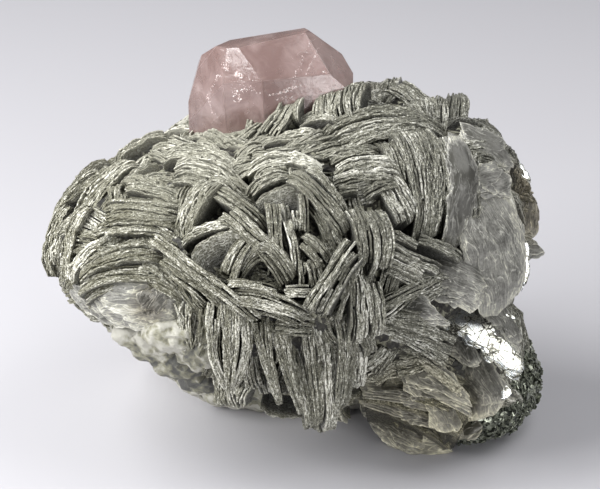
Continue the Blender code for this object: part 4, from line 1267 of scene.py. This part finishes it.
def add_node(tree, kind, inputs=(), out=None, stops=(), **settings):
    """Adds a shader node and gives the output that is named, or else its first.

    stops are those of a colour ramp, each a position and a linear colour. settings are the node's properties.
    """
    node = tree.nodes.new("ShaderNode" + kind)
    for key, value in settings.items():
        setattr(node, key, value)
    fill_in(tree, node, inputs)
    if stops:
        ramp = node.color_ramp.elements
        while len(ramp) < len(stops):
            ramp.new(0.5)
        for element, (position, colour) in zip(ramp, stops):
            element.position = position
            element.color = (*colour, 1)
    return node.outputs[out] if out else next(socket for socket in node.outputs if socket.enabled)


def new_material(name):
    """An empty material, a function that adds nodes to it, and the place on the piece from such a node."""
    material = bpy.data.materials.new(name)
    material.use_nodes = True
    add = partial(add_node, material.node_tree)
    return material, add, add("TexCoord", out="Object")


def finish_material(material, inputs):
    """Fills in the sockets of a material's Principled shader, and gives the material."""
    fill_in(material.node_tree, material.node_tree.nodes["Principled BSDF"], inputs)
    return material


def weighed(add, total, *terms):
    """Adds up outputs, each times its weight."""
    for value, weight in terms:
        total = add("Math", (value, weight, total), operation="MULTIPLY_ADD")
    return total


def round_point(add, place, point, near, far, inner, outer):
    """A value that goes from inner, near a point, to outer, far from it, all in millimetres."""
    distance = add("VectorMath", (place, Vector(point) * MM), operation="DISTANCE")
    return add("MapRange", (distance, near * MM, far * MM, inner, outer))


def brown_spots(add, place, colour, mica):
    """Stains a colour brown at its spots and gives the result."""
    for x, y, size in BROWN_SPOTS:
        near = round_point(add, place, on_form((x, y))[0], size * 0.4, size, 0.65, 0)
        colour = add("Mix", (near, colour, (*mica.brown, 1)), **STAIN)
    return colour


def cleaved_muscovite(mica):
    """Muscovite books seen on edge: grey-olive leaves, broken up by painted glints of frayed bits and short
    gaps painted dark as shade.
    """
    material, add, place = new_material("cleaved_muscovite")
    grain = add("UVMap", uv_map="grain")
    tint = add("Attribute", out="Fac", attribute_name="tint")
    edge = add("Attribute", out="Fac", attribute_name="edge")
    # Striae: 2.5 mm long and 0.2 mm apart. Dashes: 0.7 by 0.2 mm. Specks of 0.3 mm. The darkest of these marks
    # are painted shade in notches and gaps, and the brightest are painted glints of frayed bits. They also
    # drive the bump.
    striae = add("TexNoise", (add("Mapping", {"Vector": grain, "Scale": (0.4, 5, 1)}), 1, 3, 0.6))
    dashes = add("TexNoise", (add("Mapping", {"Vector": grain, "Scale": (1.4, 5, 1)}), 1, 2, 0.6))
    specks = add("TexNoise", (place, 1 / (0.3 * MM), 2, 0.7))
    blotch = add("TexNoise", (place, 1 / (5 * MM), 2))
    value = weighed(add, tint, (striae, 1.5), (dashes, 2.6), (specks, 2), (blotch, 0.8))
    value = add("MapRange", (value, 3.48, 4.4))
    leaf = add("ValToRGB", (value,), stops=((0.08, mica.dark), (0.36, mica.middle), (0.68, mica.light),
                                            (0.92, mica.worn)))
    # In part painted light: warmer to the left and cooler, a little darker to the right, over the mica's own
    # change from olive to grey.
    side = add("MapRange", (add("SeparateXYZ", (place,)), -30 * MM, 30 * MM))
    tone = add("Mix", (side, (*mica.warm, 1), (*mica.cool, 1)), **BLEND)
    colour = add("Mix", (0.3, leaf, tone), **BLEND)
    # The books by the crystal's left foot are bleached, and those of the foot are stained.
    near = round_point(add, place, PALE_CENTRE, 10, 27, 0.6, 0)
    colour = add("Mix", (near, colour, (*mica.light, 1)), **BLEND)
    low = round_point(add, place, OLIVE_CENTRE, 9, 18, 0.8, 0)
    colour = add("Mix", (low, colour, (*mica.olive, 1)), **STAIN)
    # Painted shade: each leaf darkens from its edge towards its root, where the gaps between the leaves lie in
    # shadow.
    colour = add("Mix", (1, colour, add("MapRange", (edge, 0.75, 1, 0.25, 1.06))), **STAIN)
    return finish_material(material, {
        "Base Color": brown_spots(add, place, colour, mica),
        "Roughness": add("MapRange", (specks, 0.4, 0.7, 0.55, 0.25)),
        "Normal": add("Bump", {"Height": value, "Strength": 1, "Distance": 0.4 * MM}),
        "IOR": 1.58,
    })


def pearly_muscovite(mica):
    """Muscovite leaves seen flat: grey pearly sheets, creased, with bent growth lines, olive at the foot."""
    material, add, place = new_material("pearly_muscovite")
    tint = add("Attribute", out="Fac", attribute_name="tint")
    edge = add("Attribute", out="Fac", attribute_name="edge")
    cloud = add("TexNoise", {"Vector": place, "Scale": 1 / (4 * MM), "Detail": 5, "Roughness": 0.6,
                             "Distortion": 0.8})
    # The growth lines are 3 mm long and 0.2 mm apart, and bend by up to 1 mm. The creases are 6 mm long.
    bend = add("TexNoise", (place, 1 / (9 * MM), 1), out="Color")
    bent = add("VectorMath", (bend, (0, 3.5, 0), add("UVMap", uv_map="grain")), operation="MULTIPLY_ADD")
    creases = add("TexNoise", {"Vector": add("Mapping", {"Vector": bent, "Scale": (0.2, 1.1, 1)}), "Scale": 1,
                               "Detail": 4, "Roughness": 0.5, "Distortion": 0.3},
                  noise_type="RIDGED_MULTIFRACTAL")
    lines = add("TexNoise", (add("Mapping", {"Vector": bent, "Scale": (0.33, 5, 1)}), 1, 4, 0.6))
    # Hair-thin folds run where a stretched noise passes its middle value.
    folds = add("TexNoise", {"Vector": add("Mapping", {"Vector": bent, "Scale": (0.25, 1, 1)}), "Scale": 1,
                             "Detail": 2, "Roughness": 0.4, "Distortion": 0.6})
    folds = add("Math", (add("Math", (folds, 0.5), operation="SUBTRACT"),), operation="ABSOLUTE")
    folds = add("MapRange", (folds, 0, 0.035, 0.4, 0))
    flecks = add("TexNoise", (place, 1 / (0.5 * MM), 3, 0.7))
    value = weighed(add, cloud, (lines, 0.8), (flecks, 0.6), (creases, 0.5), (folds, 1), (tint, 0.5),
                    (edge, 0.5))
    value = add("MapRange", (value, 1.4, 2.5))
    leaf = add("ValToRGB", (value,), stops=((0, mica.face_dark), (0.4, mica.face_middle), (0.7, mica.light),
                                            (0.95, mica.worn)))
    near = round_point(add, place, OLIVE_CENTRE, 8, 19, 0.6, 0)
    colour = add("Mix", (near, leaf, (*mica.olive, 1)), **STAIN)
    return finish_material(material, {
        "Base Color": brown_spots(add, place, colour, mica),
        "Normal": add("Bump", {"Height": value, "Strength": 0.55, "Distance": 0.4 * MM}),
        "Metallic": 0.2,
        "Roughness": 0.34,
        "IOR": 1.58,
    })


def mirror_muscovite(mica):
    """Fresh cleavage faces of muscovite, smooth enough to mirror the light, with cracks and dull patches."""
    material, add, place = new_material("mirror_muscovite")
    flakes = add("TexNoise", {"Vector": place, "Scale": 1 / (2.5 * MM), "Detail": 8, "Roughness": 0.8,
                              "Distortion": 0.8})
    # Cracks part it into pieces of about 2 mm.
    pieces = add("TexVoronoi", (place, 1 / (2.2 * MM)), feature="DISTANCE_TO_EDGE")
    fresh = weighed(add, flakes, (add("MapRange", (pieces, 0, 0.05, -0.12, 0)), 1))
    return finish_material(material, {
        "Base Color": add("ValToRGB", (fresh,), stops=((0.42, mica.face_dark), (0.45, mica.light),
                                                       (0.52, mica.fresh))),
        "Roughness": add("MapRange", (fresh, 0.4, 0.5, 0.6, 0.24)),
        "Normal": add("Bump", {"Height": fresh, "Strength": 0.3, "Distance": 0.2 * MM}),
        "Metallic": 0.9,
    })


def deep_mica(mica):
    """The broken mica deep between the books: flakes at all angles, painted near-black as the shade between
    the books, and painted pale for the light that comes through the crystal where it sits.
    """
    material, add, place = new_material("deep_mica")
    # Flakes of about 1.2 mm, each with its own shade.
    shade = add("SeparateColor", (add("TexVoronoi", (place, 1 / (1.2 * MM)), out="Color"),))
    value = weighed(add, add("TexNoise", (place, 1 / (0.8 * MM), 5)), (shade, 0.5))
    # Painted shade: near-black flakes for the shadow deep between the books.
    dark = add("ValToRGB", (value,), stops=((0.45, linear("12110e")), (0.8, linear("38362e")),
                                            (1, mica.middle)))
    pale = add("ValToRGB", (value,), stops=((0.45, mica.middle), (0.8, mica.light)))
    # Painted light: pale round the crystal's foot, for the light that comes through the crystal.
    near = round_point(add, place, CRYSTAL_CENTRE, 14, 18, 1, 0)
    return finish_material(material, {
        "Base Color": add("Mix", (near, dark, pale), **BLEND),
        "Normal": add("Bump", {"Height": value, "Strength": 0.9, "Distance": 0.6 * MM}),
        "Roughness": 0.5,
    })


def morganite(crystal):
    """Morganite, the pink beryl: mostly clear, with cloudy patches and a worn surface of fine steps."""
    material, add, place = new_material("morganite")
    steps = add("TexNoise", {"Vector": place, "Scale": 1 / (2.5 * MM), "Detail": 6, "Roughness": 0.6,
                             "Distortion": 0.6})
    cloud = add("TexNoise", {"Vector": place, "Scale": 1 / (6 * MM), "Detail": 4, "Roughness": 0.6,
                             "Distortion": 1})
    near = round_point(add, place, CLOUDY_POINT, 0, 9, 0.02, -0.08)
    milky = add("MapRange", (add("SeparateXYZ", (place,)), -4 * MM, 6 * MM, 0, 0.3))
    clouded = weighed(add, cloud, (near, 1), (milky, 1))
    inside = add("VolumeAbsorption", {"Color": (*crystal.absorb, 1), "Density": crystal.depth})
    fill_in(material.node_tree, material.node_tree.nodes["Material Output"], {"Volume": inside})
    return finish_material(material, {
        "Base Color": add("ValToRGB", (clouded,), stops=((0.4, crystal.body), (0.72, crystal.clouds))),
        "Roughness": add("MapRange", (steps, 0.4, 0.7, 0.06, 0.35)),
        "Normal": add("Bump", {"Height": steps, "Strength": 0.35, "Distance": 0.4 * MM}),
        "Transmission Weight": 0.55,
        "IOR": 1.58,
    })


def worn_morganite(crystal):
    """The crystal's rubbed edges: frosted, a little paler than its faces."""
    material, add, place = new_material("worn_morganite")
    chips = add("TexNoise", (place, 1 / (1.2 * MM), 4))
    return finish_material(material, {
        "Base Color": add("ValToRGB", (chips,), stops=((0.45, crystal.body), (0.8, crystal.clouds))),
        "Roughness": 0.3,
        "Transmission Weight": 0.55,
        "IOR": 1.58,
    })


def veil(crystal):
    """Veils in the crystal: cracks and chips of tiny flakes at its faces, which glint white."""
    material, add, place = new_material("veil")
    spots = add("TexNoise", (place, 1 / (0.5 * MM), 2))
    return finish_material(material, {
        "Base Color": add("ValToRGB", (spots,), stops=((0.4, crystal.clouds), (0.6, crystal.veils))),
        "Roughness": 0.3,
    })


def albite(settings):
    """Albite: dull, slightly waxy feldspar, blotched with olive and grey, greyest low on the matrix."""
    material, add, place = new_material("albite")
    cloud = add("TexNoise", {"Vector": place, "Scale": 1 / (4.2 * MM), "Detail": 6, "Roughness": 0.6,
                             "Distortion": 0.6})
    grains = add("TexVoronoi", (place, 1 / (1.4 * MM)))
    low = round_point(add, place, on_form(GREY_PIXEL)[0], 5, 22, -0.15, 0.09)
    value = weighed(add, cloud, (grains, 0.2), (low, 1))
    return finish_material(material, {
        "Base Color": add("ValToRGB", (value,), stops=((0.45, settings.shade), (0.57, settings.stain),
                                                       (0.68, settings.pale))),
        "Normal": add("Bump", {"Height": value, "Strength": 0.8, "Distance": 0.8 * MM}),
        "Roughness": 0.5,
        "IOR": 1.53,
    })


def dark_mica(settings):
    """Dark mica scales: near-black green plates, glassy enough to glint."""
    material, add, place = new_material("dark_mica")
    scales = add("TexVoronoi", (place, 1 / (0.45 * MM)), out="Color")
    shade = add("SeparateColor", (scales,))
    return finish_material(material, {
        "Base Color": add("ValToRGB", (shade,), stops=((0.2, settings.dark), (0.85, settings.light))),
        "Normal": add("Bump", {"Height": shade.node.outputs["Green"], "Strength": 0.5, "Distance": 0.3 * MM}),
        "Metallic": 0.5,
        "Roughness": 0.18,
    })


class SPECIMEN_OT_core(bpy.types.Operator):
    """Builds the broken mica that the books stand on, painted dark as the shade between them"""

    bl_idname = "specimen.core"
    bl_label = "Core"

    def execute(self, context):
        crystal = crystal_solid()
        walls = [(face.calc_center_median(), face.normal.copy()) for face in crystal.faces]
        crystal.free()
        core = bmesh.new()
        under, outward = underside()
        for name, lobe in LOBES.items():
            bm = raised_ball(lobe.centre, lobe.radii, 5,
                             lambda point: CORE_BUMPS * noise.noise(point / CORE_BUMP_SIZE) - CORE_BUMPS)
            if name != "foot":
                trim(bm, under - outward * CORE_UNDER_RAISE, outward)
            trim(bm, Vector((0, 0, CORE_LOWEST)), DOWN)
            append_to(core, bm)
        caves = [on_form(cave) for cave in CAVES]
        for vert in core.verts:
            for point, normal in caves:
                vert.co -= normal * (CAVE_DEPTH * max(0, 1 - ((vert.co - point).length / CAVE_RADIUS) ** 2))
            inside = min(-(vert.co - point).dot(normal) for point, normal in walls)
            vert.co.z -= max(0, inside + CORE_CLEARANCE)
        finish_piece("mica_core", core, deep_mica(context.scene.specimen_mica), "muscovite", 60)
        return {"FINISHED"}


class SPECIMEN_OT_books(bpy.types.Operator):
    """Builds the mica books of the front, a piece for each part of the rosette"""

    bl_idname = "specimen.books"
    bl_label = "Mica books"

    def execute(self, context):
        mica = context.scene.specimen_mica
        material = cleaved_muscovite(mica)
        shapes = {}
        for number, (name, books) in enumerate(BOOKS.items()):
            placed = [(book_place(book), book) for book in books]
            build_books(name, placed, random.Random(BOOKS_SEED + number), mica, material, shapes)
        placed = [(book_place(book), book) for book in filler_books(mica.fillers)]
        rng = random.Random(FILLER_SEED)
        build_books("mica_small_books", placed, rng, mica, material, shapes, FILLER_COARSER)
        return {"FINISHED"}


class SPECIMEN_OT_back(bpy.types.Operator):
    """Builds the mica books of the hidden sides"""

    bl_idname = "specimen.back"
    bl_label = "Back books"

    def execute(self, context):
        mica = context.scene.specimen_mica
        material = cleaved_muscovite(mica)
        rng = random.Random(BACK_SEED)
        shapes = {}
        build_books("mica_back", hidden_books(BACK, BACK_BOOKS), rng, mica, material, shapes, BACK_COARSER)
        small = hidden_books(BACK_FILLER, mica.back_fillers) + seat_books()
        build_books("mica_small_back", small, rng, mica, material, shapes, BACK_COARSER)
        return {"FINISHED"}


class SPECIMEN_OT_plates(bpy.types.Operator):
    """Builds the leaves that lie flat to the viewer"""

    bl_idname = "specimen.plates"
    bl_label = "Flat leaves"

    def execute(self, context):
        disc = disc_mesh(PLATE_RINGS)
        deep_disc = disc_mesh(DEEP_RINGS)
        pearly = pearly_muscovite(context.scene.specimen_mica)
        mirror = mirror_muscovite(context.scene.specimen_mica)
        for number, (name, plates) in enumerate(PLATES.items()):
            rng = random.Random(PLATES_SEED + number)
            bm = mica_mesh()
            for plate in plates.values():
                add_plate(bm, plate, rng, disc, deep_disc)
            finish_piece(name, bm, mirror if name == "mica_mirrors" else pearly, "muscovite")
        return {"FINISHED"}


class SPECIMEN_OT_crystal(bpy.types.Operator):
    """Builds the morganite crystal and the veils of tiny flakes just under its faces"""

    bl_idname = "specimen.crystal"
    bl_label = "Crystal"

    def execute(self, context):
        crystal = context.scene.specimen_crystal
        bm = crystal_solid()
        bmesh.ops.remove_doubles(bm, verts=bm.verts, dist=0.05)
        bmesh.ops.bevel(bm, geom=bm.edges[:], offset=crystal.bevel / MM, offset_type="OFFSET", segments=3,
                        profile=0.5, affect="EDGES", clamp_overlap=True, material=1)
        bmesh.ops.recalc_face_normals(bm, faces=bm.faces)
        faces = BVHTree.FromBMesh(bm)
        piece = finish_piece("morganite", bm, morganite(crystal), "morganite", 30)
        piece.data.materials.append(worn_morganite(crystal))
        rng = random.Random(VEILS_SEED)
        bm = bmesh.new()
        for pixel, size, turn, flake, count in VEILS:
            slant = math.radians(turn)
            for _ in range(count):
                across = rng.uniform(-0.5, 0.5) * size[0]
                above = rng.uniform(-0.5, 0.5) * size[1]
                spot = (pixel[0] + across * math.cos(slant) - above * math.sin(slant),
                        pixel[1] - across * math.sin(slant) - above * math.cos(slant))
                point, normal, _, _ = faces.ray_cast(EYE, sight(spot))
                tilt = normal + random_vector(rng, FLAKE_TILT)
                spin = rng.uniform(0, math.tau)
                wide = flake * rng.uniform(*FLAKE_SIZE)
                size_of_flake = (wide, wide * rng.uniform(*FLAKE_SIZE), FLAKE_THICK)
                place = flake_place(point - normal * FLAKE_DEPTH, tilt, spin, size_of_flake)
                bmesh.ops.create_icosphere(bm, subdivisions=1, radius=1, matrix=place)
        finish_piece("veils", bm, veil(crystal), "morganite", 60)
        return {"FINISHED"}


class SPECIMEN_OT_albite(bpy.types.Operator):
    """Builds the albite under the rosette"""

    bl_idname = "specimen.albite"
    bl_label = "Albite"

    def execute(self, context):
        bm = lump_mesh(ALBITE, 6)
        for slope in (ALBITE_FLANK, ALBITE_TOP):
            trim(bm, *facing(slope, Vector(ALBITE.centre)))
        trim(bm, Vector((0, 0, 0)), DOWN)
        for pixel, radii in ALBITE_PATCHES:
            point, normal = on_form(pixel)
            centre = point - normal * (min(radii) - PATCH_LIFT)
            append_to(bm, lump_mesh(Lump(centre, radii, *PATCH_LUMPS), 4))
        finish_piece("albite", bm, albite(context.scene.specimen_albite), "albite", 50)
        return {"FINISHED"}


class SPECIMEN_OT_crust(bpy.types.Operator):
    """Builds the dark mica crust and its scales"""

    bl_idname = "specimen.crust"
    bl_label = "Dark mica crust"

    def execute(self, context):
        settings = context.scene.specimen_crust
        bm = lump_mesh(DARK_MICA, 5)
        trim(bm, *facing(DARK_MICA_INSIDE, Vector(DARK_MICA.centre)))
        trim(bm, Vector((0, 0, 0)), DOWN)
        rng = random.Random(CRUST_SEED)
        scale = bmesh.new()
        bmesh.ops.create_circle(scale, cap_ends=True, segments=6, radius=1)
        top = bmesh.ops.extrude_face_region(scale, geom=scale.faces[:])["geom"]
        top = [item for item in top if isinstance(item, bmesh.types.BMVert)]
        bmesh.ops.translate(scale, vec=(0, 0, SCALE_THICK), verts=top)
        bmesh.ops.recalc_face_normals(scale, faces=scale.faces)
        scale_mesh = to_mesh("scale", scale)
        bm.verts.ensure_lookup_table()
        bm.normal_update()
        seats = [(vert.co.copy(), vert.normal.copy()) for vert in bm.verts if vert.co.z > SCALE_LOWEST]
        for _ in range(settings.scales):
            seat, normal = rng.choice(seats)
            tilt = (normal + random_vector(rng, SCALE_TILT)).normalized()
            size = rng.uniform(*SCALE_SIZE)
            spin = rng.uniform(0, math.tau)
            place = flake_place(seat - normal * SCALE_SUNK, tilt, spin, (size, size, size))
            flake = bmesh.new()
            flake.from_mesh(scale_mesh)
            bmesh.ops.transform(flake, matrix=place, verts=flake.verts)
            append_to(bm, flake)
        finish_piece("dark_mica", bm, dark_mica(settings), "dark_mica", 40)
        return {"FINISHED"}


class SPECIMEN_OT_stage(bpy.types.Operator):
    """Builds the floor, the lights and the camera"""

    bl_idname = "specimen.stage"
    bl_label = "Stage"

    def execute(self, context):
        scene = context.scene
        stage = scene.specimen_stage
        bm = bmesh.new()
        bmesh.ops.create_circle(bm, cap_ends=True, segments=96, radius=FLOOR_RADIUS)
        bmesh.ops.translate(bm, vec=(0, 0, -FLOOR_DROP), verts=bm.verts)
        mesh = to_mesh("floor", bm)
        floor = bpy.data.objects.new("floor", mesh)
        scene.collection.objects.link(floor)
        material = bpy.data.materials.new("floor")
        material.use_nodes = True
        mesh.materials.append(finish_material(material, {"Base Color": (*stage.floor, 1), "Roughness": 0.6}))

        for name, (place, size) in LIGHTS.items():
            data = bpy.data.lights.new(name, "AREA")
            data.energy = getattr(stage, name)
            data.shape = "RECTANGLE"
            data.size, data.size_y = size
            light = bpy.data.objects.new(name, data)
            light.location = place
            light.rotation_euler = (Vector(place) - LIT_POINT).to_track_quat("Z", "Y").to_euler()
            scene.collection.objects.link(light)

        world = bpy.data.worlds.new("studio")
        world.use_nodes = True
        background = {"Color": SKY_COLOUR, "Strength": stage.fill}
        fill_in(world.node_tree, world.node_tree.nodes["Background"], background)
        scene.world = world
        scene.view_settings.view_transform = "Standard"

        lens = bpy.data.cameras.new("camera")
        lens.sensor_width = SENSOR_WIDTH
        lens.lens = SENSOR_WIDTH * SIGHT_DISTANCE / (PHOTO_WIDTH * MM_PER_PIXEL)
        lens.clip_start = 0.01
        camera = bpy.data.objects.new("camera", lens)
        camera.location = EYE * MM
        camera.rotation_euler = TOWARD.to_track_quat("Z", "Y").to_euler()
        scene.collection.objects.link(camera)
        scene.camera = camera
        return {"FINISHED"}


class SPECIMEN_PT_panel(bpy.types.Panel):
    """Lists the specimen's pieces in the sidebar"""

    bl_label = "Specimen"
    bl_space_type = "VIEW_3D"
    bl_region_type = "UI"
    bl_category = "Specimen"

    def draw(self, context):
        for operator in OPERATORS:
            self.layout.operator(operator.bl_idname)
        for name in SETTINGS:
            settings = getattr(context.scene, name)
            for key in settings.bl_rna.properties.keys():
                if key not in ("rna_type", "name"):
                    self.layout.prop(settings, key)


SETTINGS = {
    "specimen_mica": MicaSettings,
    "specimen_crystal": CrystalSettings,
    "specimen_albite": AlbiteSettings,
    "specimen_crust": CrustSettings,
    "specimen_stage": StageSettings,
}
OPERATORS = (SPECIMEN_OT_core, SPECIMEN_OT_books, SPECIMEN_OT_back, SPECIMEN_OT_plates, SPECIMEN_OT_crystal,
             SPECIMEN_OT_albite, SPECIMEN_OT_crust, SPECIMEN_OT_stage)


def register():
    for name, settings in SETTINGS.items():
        bpy.utils.register_class(settings)
        setattr(bpy.types.Scene, name, PointerProperty(type=settings))
    for operator in OPERATORS:
        bpy.utils.register_class(operator)
    bpy.utils.register_class(SPECIMEN_PT_panel)


def unregister():
    bpy.utils.unregister_class(SPECIMEN_PT_panel)
    for operator in reversed(OPERATORS):
        bpy.utils.unregister_class(operator)
    for name, settings in reversed(SETTINGS.items()):
        delattr(bpy.types.Scene, name)
        bpy.utils.unregister_class(settings)


def main():
    register()
    bpy.ops.specimen.core()
    bpy.ops.specimen.books()
    bpy.ops.specimen.back()
    bpy.ops.specimen.plates()
    bpy.ops.specimen.crystal()
    bpy.ops.specimen.albite()
    bpy.ops.specimen.crust()
    bpy.ops.specimen.stage()


if __name__ == "__main__":
    main()
